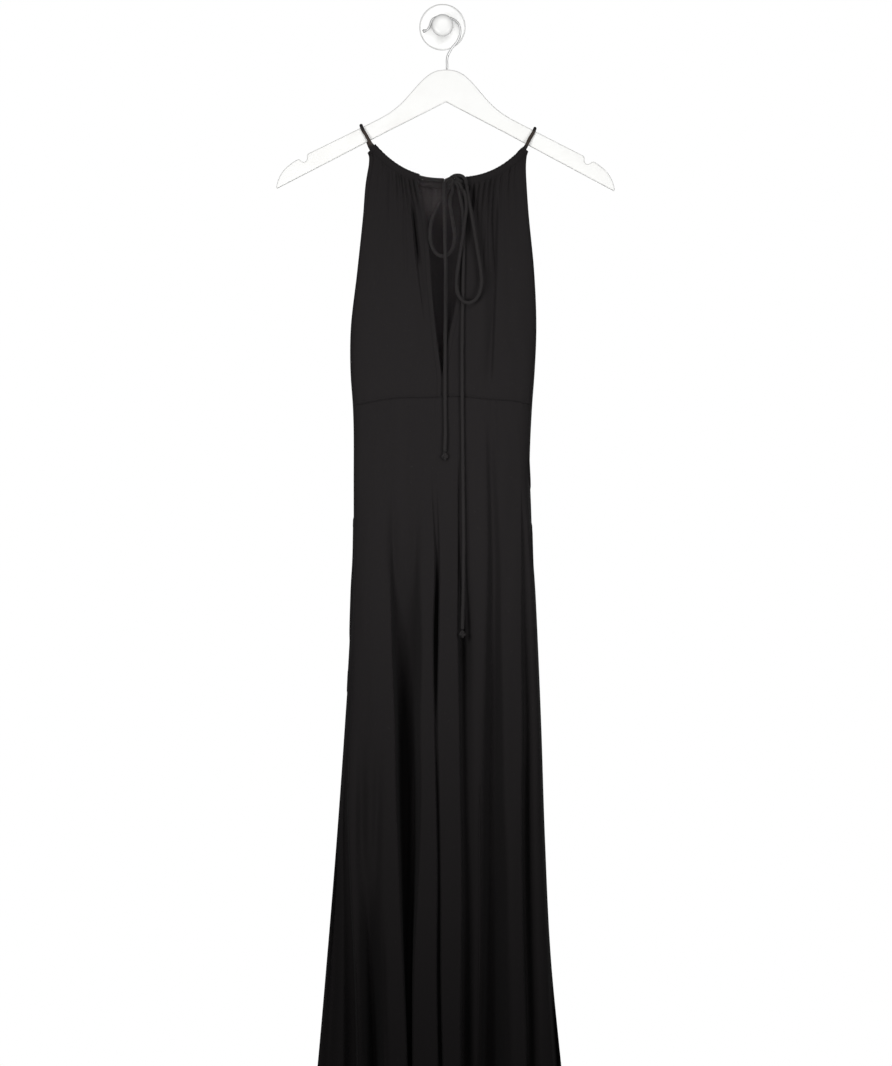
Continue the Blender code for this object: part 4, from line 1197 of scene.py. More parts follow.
@dataclass
class BodicePanel:
    """One panel of the bodice: a casing turned over the drawstring, then gathered cloth."""

    node: str
    form: Form
    face: Face
    neck: Neckline
    gathers: tuple[Gather, ...]
    tops: tuple[float, float]
    edges: tuple[Edge, Edge]
    creases: tuple[Crease, ...]
    columns: int
    crowd: tuple[bool, bool]
    seed: float
    ruches: float
    rows: int = 104
    wall: float = 1.0
    casing: Pairs = (
        (-1.35, -4.8), (-4.0, -1.5), (-3.0, 3.0), (0.0, 4.2), (3.0, 3.0), (4.0, -1.5), (1.35, -6.0),
    )
    underarm_share: float = 0.72
    gape: float = 7.0
    inset: float = 2.5
    corner_settle: int = 18
    slit_settle: int = 3
    seam_ease: float = 0.04
    edge_row: float = 6.0
    gather_sharpness: float = 2.2
    ruche: tuple[float, float] = (0.5, 0.09)
    relief: Relief = Relief(0.5, (24.0, 62.0), 0.34, 2.1, (1.6, 9.0), 12.0)
    row_spacing: float = 1.25
    top_share: float = 0.35
    seam_shares: tuple[float, ...] = (0.013, 0.0065, 0.003, 0.0)
    seam_roll: tuple[float, ...] = (0.0, 0.1, 0.55, 1.5)
    slit_heights: tuple[float, ...] = (-150, -206, -244, -352, -412, -468)
    slit_left: tuple[float, ...] = (-35.0, -33.0, -24.0, -14.0, -8.0, -1.2)
    slit_right: tuple[float, ...] = (40.0, 38.0, 31.0, 21.5, 9.0, -0.8)

    def edge_x(self, edge: Edge, z: Any) -> Array:
        """Where an edge of the panel is at a height.

        Args:
            edge: Which edge.
            z: Height or heights.

        Returns:
            x at each height.
        """
        form = self.form
        if edge.outline is None:
            places = self.slit_left if edge is Edge.SLIT_LEFT else self.slit_right
            return through(self.slit_heights, places, z)
        side = 1.0 if edge is Edge.ARMHOLE_LEFT else -1.0
        t = np.clip((z - form.underarm_z) / (form.shoulder_z - form.underarm_z), 0.0, 1.0)
        inset = self.inset * smoothstep(3.0 * t) if self.face is Face.BACK else 0.0
        return form.read(edge.outline, z) + side * inset

    def shares(self) -> Array:
        """Shares across the panel, closer together where it turns round a side."""
        even = np.linspace(0.0, 1.0, self.columns)
        if all(self.crowd):
            return 0.5 - 0.5 * np.sin(math.pi * (0.5 - even))
        crowded = even**self.row_spacing
        return crowded if self.crowd[0] else 1.0 - crowded[::-1]

    def ruches_at(self, share: Array) -> Array:
        """Small ruches along the casing, between -1 and 1."""
        return np.sin(share * math.tau * self.ruches + 2.0 * np.sin(share * 19.0 + self.seed))

    def gather_dip(self, share: Array, drop: Array) -> Array:
        """How far the cloth dips between gathers.

        Args:
            share: Share of the way across, one for each column.
            drop: Distance below the casing's stitching, as rows by columns.

        Returns:
            The dip at each point.
        """
        across = [0.0, *(g.across for g in self.gathers), 1.0]
        dip = np.zeros_like(drop)
        for before, gather, after in zip(across, self.gathers, across[2:]):
            room = np.where(share < gather.across, gather.across - before, after - gather.across)
            near = np.clip(np.abs(share - gather.across) / np.maximum(0.5 * room, 0.02), 0.0, 1.0)
            fade = smoothstep((drop + 1.0) / 5.0) * np.exp(-((drop / gather.length) ** 2))
            dip += gather.depth * fade * (1.0 - near) ** self.gather_sharpness
        return dip + self.ruche[0] * self.ruches_at(share) * np.exp(-drop / 14.0)

    def grid(self) -> tuple[Array, int]:
        """Outer points of the panel, from the casing's hidden end over the cord and down to the waist.

        Returns:
            Points in millimetres, and the number of rows in the casing.
        """
        form, outward = self.form, self.face.value
        share = self.shares()
        x_top = self.tops[0] + (self.tops[1] - self.tops[0]) * share
        centre, up = self.neck.point(x_top), self.neck.up(x_top)
        profile = bspline(self.casing, 4)
        swell = self.ruche[1] * self.ruches_at(share)
        swell = 1.0 + swell[None, :] * np.exp(-np.abs(profile[:, 1:] + 0.5) / 7.0)
        out = np.array([0.0, float(outward), 0.0])
        casing = centre[None] + up[None] * (profile[:, 1, None, None] * swell[..., None])
        casing = casing + out * (profile[:, 0, None, None] * swell[..., None])
        top = centre + up * self.casing[-1][1] + out * self.casing[-1][0]
        body_rows = np.linspace(0.0, 1.0, self.rows)[1:-1] ** self.row_spacing
        v = np.concatenate([body_rows, 1.0 - np.array(self.seam_shares)])[:, None]
        straight = top[0, 0] + (top[-1, 0] - top[0, 0]) * share
        ends = []
        for corner, edge in zip((top[0], top[-1]), self.edges):
            z = corner[2] + (form.waist_z - corner[2]) * v
            settle = self.corner_settle if edge.outline else self.slit_settle
            off = corner[0] - self.edge_x(edge, corner[2])
            ends.append(self.edge_x(edge, z) + off * (1.0 - v) ** settle)
        x = ends[0] + (ends[1] - ends[0]) * share + (top[:, 0] - straight) * (1.0 - v) ** 2
        z = top[:, 2] + (form.waist_height(x) + form.seam_gap / 2 - top[:, 2]) * v
        turn = x.copy()
        for edge, end, weight in zip(self.edges, ends, (1.0 - share, share)):
            if edge.outline:
                turn = turn + (form.read(edge.outline, z) - end) * weight
        outer = form.read(self.face.name.lower(), z)
        side = form.side(z)
        open_share = smoothstep((self.underarm_share - v) / self.underarm_share)
        opened = np.sin(math.pi * np.minimum(1.0, v / self.underarm_share))
        gape = np.where(v < self.underarm_share, self.gape * opened, 0.0)
        edge = side + (top[:, 1] - side) * open_share + outward * gape
        body = edge + (outer - edge) * form.rounding(form.share(turn, z))
        depth = top[:, 1] + (body - top[:, 1]) * smoothstep(v / self.top_share)
        drop = top[:, 2] - z
        inwards = self.gather_dip(share, drop)
        held = smoothstep(np.minimum(share, 1.0 - share) / self.seam_ease)
        for crease in self.creases:
            inwards = inwards + crease.dip(x, z) * held
        inwards = inwards + held * self.relief.dip(x, z, drop, z - form.waist_z, self.seed)
        inwards[-len(self.seam_roll):] += np.array(self.seam_roll)[:, None] * held
        lower = np.stack([x, depth - outward * inwards, z], axis=-1)
        grid = np.concatenate([casing, lower], axis=0)
        part_seams(grid, form.seam_gap)
        return grid, len(profile)

    def sewn(self, grid: Array, casing_rows: int) -> Array:
        """Distance from the nearest sewn row and the run along it.

        Args:
            grid: Outer points.
            casing_rows: Rows that lie in the casing.

        Returns:
            Pairs for each point.
        """
        down, across = laid_flat(grid)
        rows = [(down - down[casing_rows - 1 : casing_rows], across)]
        for distance, edge in zip((across, across[:, -1:] - across), self.edges):
            sewn_edge = distance - self.edge_row
            if edge.outline:
                sewn_edge = np.where(grid[:, :, 2] > self.form.underarm_z - 2.0, sewn_edge, 99.0)
            rows.append((sewn_edge, down))
        away = np.stack([row[0] for row in rows])
        run = np.stack([row[1] for row in rows])
        nearest = np.abs(away).argmin(axis=0)[None]
        return np.stack([np.take_along_axis(row, nearest, 0)[0] for row in (away, run)], axis=-1)

    def build(self, finishes: Wardrobe) -> Any:
        """Args:
            finishes: The finished materials.

        Returns:
            The panel.
        """
        grid, casing_rows = self.grid()
        cloth = shell(grid, self.wall, self.sewn(grid, casing_rows))
        obj = add_piece(f"{self.node}_cloth", cloth, finishes.jersey, (self.node,))
        return obj


def bodice_panels(form: Form) -> list[BodicePanel]:
    """The bodice's three panels.

    Args:
        form: The dress's smooth form.

    Returns:
        The front's left and right, and the back.
    """
    left = BodicePanel(
        "bodice_front_left", form, Face.FRONT, FRONT_NECK,
        (
            Gather(0.058, 0.8, 26), Gather(0.174, 1.3, 60), Gather(0.27, 1.0, 30), Gather(0.38, 2.2, 80),
            Gather(0.46, 1.4, 40), Gather(0.542, 2.4, 50), Gather(0.60, 1.4, 30), Gather(0.658, 2.8, 46),
            Gather(0.726, 3.2, 60), Gather(0.819, 4.2, 40), Gather(0.91, 4.0, 34),
        ),
        (FRONT_NECK.left - 3.0, -31.0), (Edge.ARMHOLE_LEFT, Edge.SLIT_LEFT),
        (
            Crease(((-224, -40.8), (-242, -38.8), (-270, -36.0), (-322, -30.5)), 1.7, 8.5, 32, 1.3),
            Crease(((-226, -41.0), (-300, -33.5), (-400, -21.0)), 1.6, 3.2, 60, 3.5),
            Crease(((-214, -50.5), (-290, -49.0), (-350, -46.0)), 2.6, 1.3, 40),
            Crease(((-214, -60.0), (-300, -62.0), (-400, -66.0)), 5.0, 1.0, 60),
            Crease(((-205, -76.0), (-290, -82.0), (-380, -90.0)), 5.0, 0.8, 60),
            Crease(((-400, -70.0), (-440, -60.0), (-486, -52.0)), 7.0, 0.5, 40),
        ),
        150, (True, False), 0.7, 17.0,
    )
    right = BodicePanel(
        "bodice_front_right", form, Face.FRONT, FRONT_NECK,
        (
            Gather(0.05, 3.4, 30), Gather(0.13, 4.0, 50), Gather(0.216, 3.6, 60), Gather(0.308, 3.4, 60),
            Gather(0.402, 3.6, 90), Gather(0.476, 3.4, 150), Gather(0.588, 2.4, 60), Gather(0.66, 1.2, 30),
            Gather(0.719, 2.0, 50), Gather(0.831, 1.4, 60), Gather(0.93, 0.8, 30),
        ),
        (31.0, FRONT_NECK.right), (Edge.SLIT_RIGHT, Edge.ARMHOLE_RIGHT),
        (
            Crease(((-208, 71.5), (-309, 68.5), (-400, 65.5), (-488, 62.0)), 8.0, 5.2, 50, 0.3),
            Crease(((-209, 60.0), (-300, 53.0), (-360, 48.0)), 3.5, 2.2, 45, 0.6),
            Crease(((-206, 41.5), (-226, 40.0), (-250, 38.0)), 2.2, 4.0, 14),
            Crease(((-210, 84.0), (-300, 86.0), (-400, 90.0)), 5.0, 0.9, 60),
            Crease(((-380, 30.0), (-430, 22.0), (-480, 18.0)), 5.0, 0.6, 40),
        ),
        150, (False, True), 2.9, 19.0,
    )
    back = BodicePanel(
        "bodice_back", form, Face.BACK, BACK_NECK,
        tuple(
            Gather((k + 0.5) / 9, 1.6 + 1.2 * math.sin(1.9 * k) ** 2, 70 + 60 * math.cos(1.3 * k) ** 2)
            for k in range(9)
        ),
        (BACK_NECK.right, BACK_NECK.left), (Edge.ARMHOLE_RIGHT, Edge.ARMHOLE_LEFT),
        (
            Crease(((-222, 60.0), (-320, 56.0), (-420, 50.0)), 5.0, 1.5, 60),
            Crease(((-226, 24.0), (-330, 20.0), (-440, 18.0)), 4.5, 1.7, 60),
            Crease(((-226, -20.0), (-310, -18.0), (-400, -15.0)), 4.5, 1.6, 60),
            Crease(((-222, -56.0), (-320, -58.0), (-430, -62.0)), 5.0, 1.5, 60),
        ),
        240, (True, True), 4.4, 30.0,
    )
    return [left, right, back]


# The drawstring and its bow


@dataclass
class Drawstring:
    """The one cord: round both casings, over the hanger's arms, tied in a bow with two ends.

    A knot strand is its points and its radius. A loop's foot lies this far inwards of where the
    loop crosses the arm, forwards of its own leg, and below the top of the arm.
    """

    form: Form
    hanger_top: Callable[[float], float]
    hanger_y: float = -30.0
    hanger_half: float = 6.0
    radius: float = 2.25
    starts: tuple[float, float] = (2.9, 32.6)
    loops_x: tuple[float, float] = (-107.0, 121.5)
    loop_feet: tuple[Point, Point] = ((12.6, 2.3, 20.5), (9.4, 1.6, 15.6))
    lift: float = 0.6
    spacing: float = 1.6
    strand_spacing: float = 0.8
    end_drop: float = 5.0
    end_size: Point = (1.05, 0.85, 0.95)
    end_strand: float = 1.55
    tip_radius: float = 1.85
    knot_strands: tuple[tuple[tuple[Point, ...], float], ...] = (
        ((
            (2.9, -47.6, -203.2), (9.0, -49.0, -203.0), (17.7, -50.0, -203.4), (26.0, -49.0, -203.0),
            (32.6, -47.6, -202.8),
        ), 2.3),
        ((
            (9.5, -49.6, -203.0), (12.5, -50.0, -199.2), (19.5, -50.6, -198.6), (26.5, -50.0, -199.4),
            (30.5, -49.4, -203.0),
        ), 2.3),
        ((
            (8.2, -51.4, -216.5), (8.4, -51.4, -210.0), (10.4, -52.2, -202.6), (14.8, -53.8, -198.2),
            (20.5, -55.2, -197.3), (26.2, -55.6, -198.9), (30.2, -55.0, -203.6), (31.6, -53.3, -210.2),
        ), 2.35),
        ((
            (13.5, -51.0, -217.6), (13.0, -51.2, -211.5), (13.6, -52.6, -207.4), (16.0, -55.4, -204.8),
            (19.4, -57.4, -205.2), (22.6, -57.2, -208.4), (24.6, -56.6, -212.4), (26.2, -56.3, -216.0),
        ), 2.1),
        ((
            (3.0, -54.4, -207.4), (5.6, -54.2, -203.8), (8.8, -55.4, -201.6), (12.4, -57.0, -202.4),
            (13.6, -57.4, -205.8), (11.4, -56.6, -208.6), (9.4, -54.8, -209.4),
        ), 2.0),
        ((
            (20.9, -53.4, -215.8), (20.0, -54.2, -210.4), (17.0, -55.2, -206.6), (12.4, -54.6, -204.4),
            (10.8, -51.6, -203.4),
        ), 2.1),
        ((
            (14.6, -50.4, -199.6), (15.8, -55.4, -199.2), (18.6, -58.4, -201.0), (21.8, -58.8, -203.2),
            (24.4, -56.6, -205.0), (25.4, -52.6, -205.4),
        ), 1.8),
    )

    def on_front(self, x: float, z: float, lift: float) -> Point:
        """Centre of a cord that lies on the front of the dress, lifted this much more."""
        return (x, float(self.form.depth(x, z, Face.FRONT)) - self.radius - self.lift - lift, z)

    def shoulder_loop(self, x: float, side: int) -> list[Point]:
        """Way from the front of the dress over the hanger's arm and down behind it.

        Args:
            x: Where it crosses the top of the arm.
            side: -1 on the viewer's left, 1 on the right.

        Returns:
            Points of the route.
        """
        top, leg = self.hanger_top(x), self.hanger_half + self.radius + 1.0
        corner, y = leg - 0.9, self.hanger_y
        foot = self.loop_feet[0 if side < 0 else 1]
        return [
            (x - side * foot[0], y - leg - foot[1], top - foot[2]),
            (x - side * 7.0, y - leg - 0.2, top - 10.5),
            (x - side * 3.0, y - leg + 0.2, top - 4.0), (x - side * 0.6, y - corner + 1.0, top + 1.2),
            (x, y - 4.2, top + 3.1), (x, y + 4.2, top + 3.1),
            (x - side * 0.6, y + corner - 1.0, top + 1.2), (x - side * 3.0, y + leg - 0.2, top - 4.0),
            (x - side * 6.0, y + leg + 0.4, top - 10.5),
        ]

    def neck_line(self) -> Array:
        """The run from the bow round both casings and back to the bow."""
        left = FRONT_NECK.point(np.linspace(self.starts[0], FRONT_NECK.left, 10)).tolist()
        back = BACK_NECK.point(np.linspace(BACK_NECK.left, BACK_NECK.right, 19)).tolist()
        right = FRONT_NECK.point(np.linspace(FRONT_NECK.right, self.starts[1], 9)).tolist()
        over_left = self.shoulder_loop(self.loops_x[0], -1)
        over_right = self.shoulder_loop(self.loops_x[1], 1)[::-1]
        return catmull([*left, *over_left, *back, *over_right, *right], self.spacing)

    def routes(self) -> dict[str, list[Point]]:
        """Routes of the bow's loops and ends, downwards from the knot."""
        on = self.on_front
        return {
            "bow_loop_left": [
                (8.2, -51.2, -215.3), (4.6, -53.4, -220.0), (0.6, -56.4, -227.6), on(-6.6, -239.0, 0.6),
                on(-13.2, -253.0, 0.4), on(-16.4, -270.0, 0.2), on(-15.4, -285.5, 0.0),
                on(-9.8, -298.0, 0.0), on(-1.4, -303.4, 0.0), on(8.0, -300.4, 0.0),
                on(14.2, -290.0, 0.1), on(15.8, -274.0, 0.3), (12.6, -56.3, -253.0),
                (9.8, -54.8, -236.0), (10.5, -52.4, -225.4), (13.4, -50.8, -216.8),
            ],
            "bow_loop_right": [
                (26.6, -56.2, -215.5), (30.2, -60.6, -225.2), on(31.2, -241.0, 6.4), on(29.0, -260.0, 6.6),
                on(25.4, -287.0, 6.0), on(20.6, -317.0, 6.0), on(18.4, -338.0, 6.0),
                on(20.8, -354.0, 6.0), on(28.2, -363.4, 6.0), on(37.4, -364.4, 6.0),
                on(46.4, -357.0, 6.0), on(51.0, -341.0, 6.0), on(50.2, -322.0, 6.0),
                on(46.0, -296.0, 6.0), on(40.8, -264.0, 6.0), on(37.4, -244.0, 5.6),
                (34.0, -58.8, -225.6), (31.6, -53.2, -209.7),
            ],
            "tie_end_left": [
                (2.5, -54.2, -205.7), (2.2, -58.6, -214.7), (2.4, -62.8, -226.2), on(2.8, -258.0, 5.2),
                on(3.6, -300.0, 5.4), on(4.2, -318.0, 5.0), on(4.0, -362.0, 1.6),
                on(3.6, -430.0, 0.8), on(3.4, -490.0, 0.8), on(3.8, -535.0, 1.4),
                on(3.0, -561.0, 2.6),
            ],
            "tie_end_right": [
                (20.8, -53.2, -215.1), (24.0, -55.4, -228.2), (27.0, -58.2, -247.0), on(27.7, -275.0, 0.3),
                on(27.6, -310.0, 0.6), on(26.8, -350.0, 0.6), on(25.8, -420.0, 0.6),
                on(26.0, -496.0, 0.8), on(27.2, -620.0, 1.2), on(27.8, -680.0, 1.2),
                on(27.0, -750.0, 1.6), on(26.0, -794.0, 2.6),
            ],
        }

    def handmade(self, reach: Array) -> Array:
        """Slight unevenness of a hand-turned cord along its length."""
        return 1.0 + 0.035 * np.sin(reach / 7.3 + 1.1 * np.sin(reach / 19.0)) + 0.015 * np.sin(reach / 2.3)

    def knot_lines(self, centre: Point, size: Point) -> Array:
        """Line of a tight knot of three interlocked lobes.

        Args:
            centre: Middle of the knot.
            size: Scale along X, Y and Z.

        Returns:
            Points round the knot.
        """
        t = np.linspace(0.0, math.tau, 120, endpoint=False)
        x, z = np.sin(t) + 2.0 * np.sin(2.0 * t), -np.cos(t) + 2.0 * np.cos(2.0 * t)
        return np.array(centre) + np.stack([x, np.sin(3.0 * t), z], axis=1) * np.array(size)

    def build_knot(self, finishes: Wardrobe) -> Any:
        """Builds the bow's knot: the strands that cross in it, under a turn that holds them.

        Args:
            finishes: The finished materials.

        Returns:
            The knot.
        """
        strands = [tube(catmull(line, self.strand_spacing), radius) for line, radius in self.knot_strands]
        return add_piece("bow_knot_cord", Shape.joined(strands), finishes.cord, ("bow_knot",))

    def build_end(self, name: str, node: str, at: Array, finishes: Wardrobe) -> Any:
        """Builds the small knot at a cord's end, with the cut tip below it.

        Args:
            name: Piece name.
            node: CAD node that it stands for.
            at: Last point of the cord.
            finishes: The finished materials.

        Returns:
            The knot.
        """
        centre = (at[0], at[1], at[2] - self.end_drop)
        lobes = tube(self.knot_lines(centre, self.end_size), self.end_strand, closed=True)
        tip = [centre, (at[0] + 0.3, at[1] + 0.2, at[2] - 7.5), (at[0] + 0.5, at[1] + 0.3, at[2] - 10.6)]
        shape = Shape.joined([lobes, tube(catmull(tip, 0.6), self.tip_radius)])
        return add_piece(name, shape, finishes.cord, (node,))

    def build(self, finishes: Wardrobe) -> None:
        """Args:
            finishes: The finished materials.
        """
        neck = tube(self.neck_line(), self.radius, swell=self.handmade)
        add_piece("neck_cord_run", neck, finishes.cord, ("neck_cord",))
        knot = self.build_knot(finishes)
        for node, route in self.routes().items():
            line = catmull(route, self.spacing)
            shape = tube(line, self.radius, swell=self.handmade)
            cord = add_piece(f"{node}_cord", shape, finishes.cord, (node,))
            pieces, far = [], "object"
            if node.startswith("tie_end"):
                side = node.rsplit("_", 1)[1]
                pieces.append(self.build_end(f"end_knot_{side}_cord", f"end_knot_{side}", line[-1], finishes))
                pieces += [knot] if side == "left" else []
                far = "knot"


# Hanger, hook and peg


@dataclass
class Hanger:
    """The flat wooden hanger: half its outline from the neck to the tip and back."""

    centre_x: float = 5.2
    top_z: float = -57.5
    y: float = -30.0
    thick: float = 12.0
    bevel: float = 1.8
    tilt: float = math.radians(0.45)
    sharp: float = 35.0
    weld: float = 0.00001
    top_edge: Pairs = (
        (0.0, 0.0), (9.0, -0.8), (17.0, -3.2), (26.0, -9.0), (35.0, -17.5), (45.0, -29.0), (56.0, -41.5),
        (68.0, -52.5), (82.0, -62.0), (100.0, -71.5), (120.0, -81.5), (150.0, -96.5), (181.0, -112.0),
    )
    notch: Pairs = (
        (182.5, -114.5), (182.5, -119.5), (186.0, -123.0), (190.5, -121.5), (194.0, -119.5),
    )
    tip: Pairs = (
        (203.0, -125.0), (213.0, -134.0), (219.5, -145.0), (222.5, -155.5), (221.5, -158.0),
    )
    underside: Pairs = ((150.0, -120.5), (80.0, -83.5), (0.0, -42.5))

    def top_at(self, x: float) -> float:
        """Height of the top edge at x, with the hanger's tilt."""
        reach = abs(x - self.centre_x)
        fall = float(np.interp(reach, [p[0] for p in self.top_edge], [p[1] for p in self.top_edge]))
        return self.top_z + fall - (x - self.centre_x) * math.sin(self.tilt)

    def outline(self) -> Array:
        """The whole outline, smooth along the top and round the tips."""
        mirrored = [(-x, z) for x, z in self.top_edge[1:4]][::-1]
        top = catmull([*mirrored, *self.top_edge], 3.0)
        top = top[top[:, 0] >= -0.01]
        top[0] = (0.0, 0.0)
        dip = catmull([self.top_edge[-1], *self.notch, *self.tip], 1.6)
        half = np.vstack([top, dip[1:], np.array(self.underside)])
        mirror = half[1:-1][::-1] * np.array([-1.0, 1.0])
        return np.vstack([half, mirror])

    def build(self, finishes: Wardrobe) -> None:
        """Builds the hanger.

        Args:
            finishes: The finished materials.
        """
        curve = bpy.data.curves.new("hanger_outline", "CURVE")
        curve.dimensions = "2D"
        curve.fill_mode = "BOTH"
        curve.bevel_depth = self.bevel * MM
        curve.bevel_resolution = 4
        curve.offset = -self.bevel * MM
        curve.extrude = (self.thick / 2 - self.bevel) * MM
        spline = curve.splines.new("POLY")
        outline = self.outline()
        spline.points.add(len(outline) - 1)
        for point, (x, z) in zip(spline.points, outline):
            point.co = (x * MM, z * MM, 0.0, 1.0)
        spline.use_cyclic_u = True
        guide = bpy.data.objects.new("hanger_guide", curve)
        bpy.context.scene.collection.objects.link(guide)
        mesh = bpy.data.meshes.new_from_object(guide.evaluated_get(bpy.context.evaluated_depsgraph_get()))
        bpy.data.objects.remove(guide, do_unlink=True)
        mesh.materials.clear()
        welded = bmesh.new()
        welded.from_mesh(mesh)
        bmesh.ops.remove_doubles(welded, verts=welded.verts, dist=self.weld)
        bmesh.ops.recalc_face_normals(welded, faces=welded.faces)
        welded.to_mesh(mesh)
        welded.free()
        mesh.shade_smooth()
        mesh.set_sharp_from_angle(angle=math.radians(self.sharp))
        turn = Vector((self.centre_x, self.y, self.top_z)) * MM
        c, s = math.cos(self.tilt), math.sin(self.tilt)
        places = np.empty(len(mesh.vertices) * 3, dtype=np.float32)
        mesh.vertices.foreach_get("co", places)
        x, up, out = places.reshape(-1, 3).T
        moved = np.stack([x * c + up * s + turn.x, -out + turn.y, -x * s + up * c + turn.z], axis=1)
        mesh.vertices.foreach_set("co", moved.astype(np.float32).ravel())
        mesh.update()
        add_piece("hanger_wood_body", mesh, finishes.wood, ("hanger_body",))
        LOG.info("hanger: %d outline points", len(outline))


@dataclass
class WireHook:
    """The hanger's bent wire hook, with a small ball at its tip."""

    hanger: Hanger
    radius: float = 1.5
    tip_radius: float = 2.4
    bend: Pairs = (
        (6.0, -57.2), (6.0, -50.5), (6.0, -43.5), (7.4, -37.8), (12.0, -29.5), (18.9, -20.8),
        (23.2, -10.8), (22.0, 0.6), (16.2, 7.6), (9.0, 10.8), (1.0, 11.3), (-6.5, 11.6), (-12.4, 9.6),
        (-15.2, 4.2), (-16.8, -0.8), (-19.8, -4.8), (-24.0, -6.4),
    )

    def line(self) -> Array:
        """The wire's centre line from the hanger to the tip."""
        return catmull([(x, self.hanger.y, z) for x, z in self.bend], 1.2)

    def build(self, finishes: Wardrobe) -> None:
        """Builds the hook.

        Args:
            finishes: The finished materials.
        """
        line = self.line()
        angle = np.linspace(-math.pi / 2, math.pi / 2, 15)
        ball = self.tip_radius * np.stack([np.cos(angle), np.sin(angle)], axis=1)
        shape = Shape.joined([tube(line, self.radius, 20), turned(ball, tuple(line[-1]), False, 28)])
        add_piece("hook_wire_bend", shape, finishes.wire, ("hanger_hook",))


@dataclass
class WallPeg:
    """The round wall peg: a plate against the wall, a neck and a domed knob."""

    plate_radius: float = 30.5
    plate_thick: float = 8.0
    neck_radius: float = 8.9
    knob_radius: float = 14.5
    length: float = 58.0
    knob_thick: float = 12.0
    gap: float = 0.3
    rim: float = 3.0
    rim_rise: float = 3.2
    dish: float = 0.2
    cove: float = 2.6
    dome: float = 6.5

    def build(self, finishes: Wardrobe) -> Any:
        """Builds the plate and the knob.

        Args:
            finishes: The finished materials.

        Returns:
            The plate.
        """
        t = np.linspace(0.0, math.pi / 2, 9)
        thick, neck, r = self.plate_thick, self.neck_radius, self.knob_radius
        inner, lip, curve, dome = self.plate_radius - self.rim, thick - self.dish, self.cove, self.dome
        edge = [(inner + self.rim * math.cos(a), lip - self.rim_rise * (1 - math.sin(a))) for a in t]
        plate = [(0.0, 0.0), (self.plate_radius, 0.0), *edge, (neck + 3.0, thick), (0.0, thick)]
        back, foot = self.length - self.knob_thick, thick + self.gap
        cove = [(neck + curve * (1 - math.sin(a)), foot + curve * (1 - math.cos(a))) for a in t]
        under = [(r - curve + curve * math.sin(a), back + curve - curve * math.cos(a)) for a in t]
        top = [(r * math.cos(a) ** 0.55, self.length - dome + dome * math.sin(a)) for a in t[:-1]]
        knob = [(0.0, foot), *cove, (neck, back), *under, *top, (0.0, self.length)]
        pieces = [
            add_piece(name, turned(np.array(line), (0, 0, 0), True), finishes.peg, (node,), 50.0)
            for name, line, node in (
                ("peg_plate_round", plate, "peg_plate"), ("peg_knob_domed", knob, "peg_knob"),
            )
        ]
        LOG.info("peg: plate %.0f mm across", 2 * self.plate_radius)
        return pieces[0]


# Camera, light and floor


@dataclass(frozen=True)
class Lamp:
    """A soft area lamp and where it points."""

    name: str
    place: Point
    aim: Point
    size: tuple[float, float]
    power: float
    spread: float = 180.0


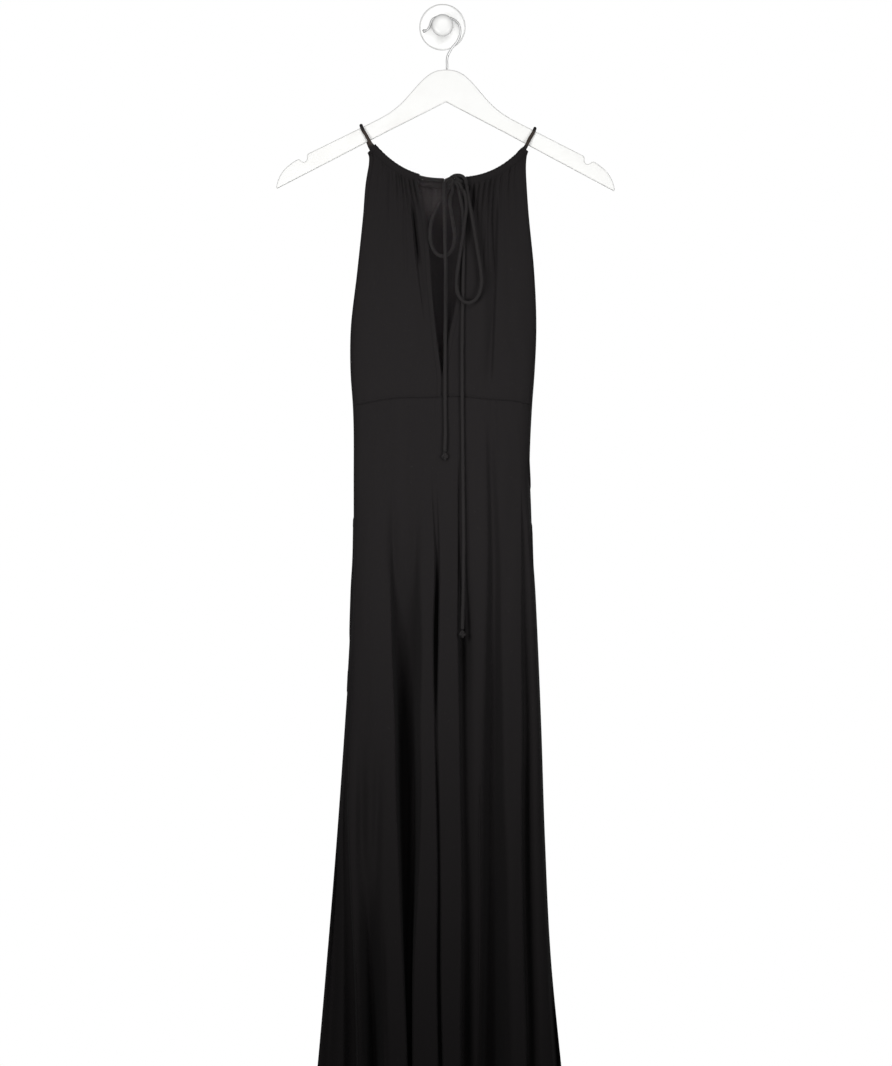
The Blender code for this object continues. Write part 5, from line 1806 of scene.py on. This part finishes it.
@dataclass
class Studio:
    """Camera at the photograph's angle, soft lamps, a white surround and a pale floor."""

    frame_height: float = 1.3991
    distance: float = 12.0
    centre: tuple[float, float] = (0.0046, -0.667)
    surface_y: float = -0.06
    surround: float = 0.10
    lamps: tuple[Lamp, ...] = (
        Lamp("left_softbox", (-0.55, -1.03, -0.50), (0.0, -0.06, -0.54), (0.4, 0.6), 2.85, 108.0),
        Lamp("right_softbox", (0.62, -0.98, -0.50), (0.0, -0.06, -0.54), (0.45, 0.6), 2.0, 108.0),
        Lamp("hanger_light", (0.05, -1.1, 0.34), (0.03, -0.03, -0.08), (0.6, 0.4), 3.5),
        Lamp("back", (0.6, 1.6, -0.1), (0.0, 0.0, -0.6), (1.2, 1.4), 12.0),
    )
    inner_lamps: tuple[Lamp, ...] = (
        Lamp("keyhole_top_light", (-0.01, -1.9, -0.16), (-0.018, -0.02, -0.226), (0.04, 0.04), 0.020, 3.6),
        Lamp("keyhole_light", (-0.01, -1.9, -0.36), (-0.008, -0.02, -0.36), (0.1, 0.1), 0.046, 11.0),
    )
    peg_lamp: Lamp = Lamp("peg_light", (0.0, -1.6, 0.02), (0.0, 0.0, 0.0), (0.6, 0.6), 5.0)
    pale_lamp: Lamp = Lamp("pale_pieces_light", (0.0, -1.6, 0.06), (0.0, 0.0, -0.06), (0.8, 0.8), 4.6)
    pale_pieces: tuple[str, ...] = (
        "hanger_wood_body", "hook_wire_bend", "peg_plate_round", "peg_knob_domed",
    )
    film: float = 36.0
    floor_radius: float = 1.5
    floor_centre: tuple[float, float] = (-0.05, -1.72)
    floor_sides: int = 96

    def light_only(self, lamp: Lamp, pieces: Sequence[Any]) -> None:
        """Adds a lamp that lights only these pieces.

        Args:
            lamp: What it is and where it points.
            pieces: The pieces that it lights.
        """
        lit = bpy.data.collections.new(f"lit_by_{lamp.name}")
        for piece in pieces:
            lit.objects.link(piece)
        self.add_lamp(lamp).light_linking.receiver_collection = lit

    def add_lamp(self, lamp: Lamp) -> Any:
        """Adds a lamp.

        Args:
            lamp: What it is and where it points.

        Returns:
            The lamp's object.
        """
        data = bpy.data.lights.new(lamp.name, "AREA")
        data.shape = "RECTANGLE"
        data.size, data.size_y = lamp.size
        data.energy = lamp.power
        data.spread = math.radians(lamp.spread)
        obj = bpy.data.objects.new(lamp.name, data)
        obj.location = lamp.place
        obj.rotation_euler = (Vector(lamp.aim) - Vector(lamp.place)).to_track_quat("-Z", "Y").to_euler()
        obj.visible_camera = False
        bpy.context.scene.collection.objects.link(obj)
        return obj

    def build(self) -> None:
        """Sets up the camera, the lamps, the surround and the floor."""
        scene = bpy.context.scene
        scene.view_settings.view_transform = "Standard"
        camera = bpy.data.cameras.new("camera")
        camera.sensor_fit = "VERTICAL"
        camera.sensor_height = self.film
        camera.lens = self.film * self.distance / self.frame_height
        camera.clip_end = 60.0
        eye = bpy.data.objects.new("camera", camera)
        eye.location = (self.centre[0], self.surface_y - self.distance, self.centre[1])
        eye.rotation_euler = (math.radians(90.0), 0.0, 0.0)
        scene.collection.objects.link(eye)
        scene.camera = eye
        for lamp in self.lamps:
            self.add_lamp(lamp)
        self.build_surround()
        self.build_floor()

    def build_surround(self) -> None:
        """A white background that lights the dress only softly."""
        world = bpy.data.worlds.new("surround")
        bpy.context.scene.world = world
        world.use_nodes = True
        tree = NodeTree(world.node_tree)
        seen = tree.add("LightPath").outputs["Is Camera Ray"]
        strength = tree.add("Mix", {0: seen, 2: self.surround, 3: 1.0}, data_type="FLOAT").outputs[0]
        background = world.node_tree.nodes["Background"]
        background.inputs["Color"].default_value = (1.0, 1.0, 1.0, 1.0)
        tree.link(strength, background.inputs["Strength"])

    def build_floor(self) -> None:
        """A round pale floor below the hem."""
        material, tree, shader = start_material("pale_floor", {"Roughness": 0.7})
        grain = tree.add("TexNoise", {"Scale": 60.0, "Detail": 4.0})
        colour = tree.blend(grain.outputs[0], (0.76, 0.76, 0.75, 1.0), (0.82, 0.82, 0.81, 1.0))
        tree.link(colour, shader.inputs["Base Color"])
        angle = np.linspace(0.0, math.tau, self.floor_sides, endpoint=False)
        x, y = self.floor_radius * np.cos(angle), self.floor_radius * np.sin(angle) + self.floor_centre[0]
        points = np.stack([x, y, np.full(self.floor_sides, self.floor_centre[1])], axis=1)
        mesh = bpy.data.meshes.new("floor")
        mesh.from_pydata(points.tolist(), [], [tuple(range(self.floor_sides))])
        mesh.materials.append(material)
        floor = bpy.data.objects.new("floor", mesh)
        bpy.context.scene.collection.objects.link(floor)


def main() -> None:
    """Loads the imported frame, dresses it, lights it and keeps its size."""
    logging.basicConfig(level=logging.INFO, format="%(name)s: %(message)s")
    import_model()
    finishes = Wardrobe.build()
    form = Form()
    hanger = Hanger()
    studio = Studio()
    studio.build()
    drawstring = Drawstring(form, hanger.top_at)
    drawstring.build(finishes)
    panels = [panel.build(finishes) for panel in bodice_panels(form)]
    for lamp in studio.inner_lamps:
        studio.light_only(lamp, panels[-1:])
    Skirt(form).build(finishes)
    hanger.build(finishes)
    WireHook(hanger).build(finishes)
    studio.light_only(studio.peg_lamp, [WallPeg().build(finishes)])
    studio.light_only(studio.pale_lamp, [bpy.data.objects[name] for name in studio.pale_pieces])
    bpy.context.view_layer.update()


if __name__ == "__main__":
    main()
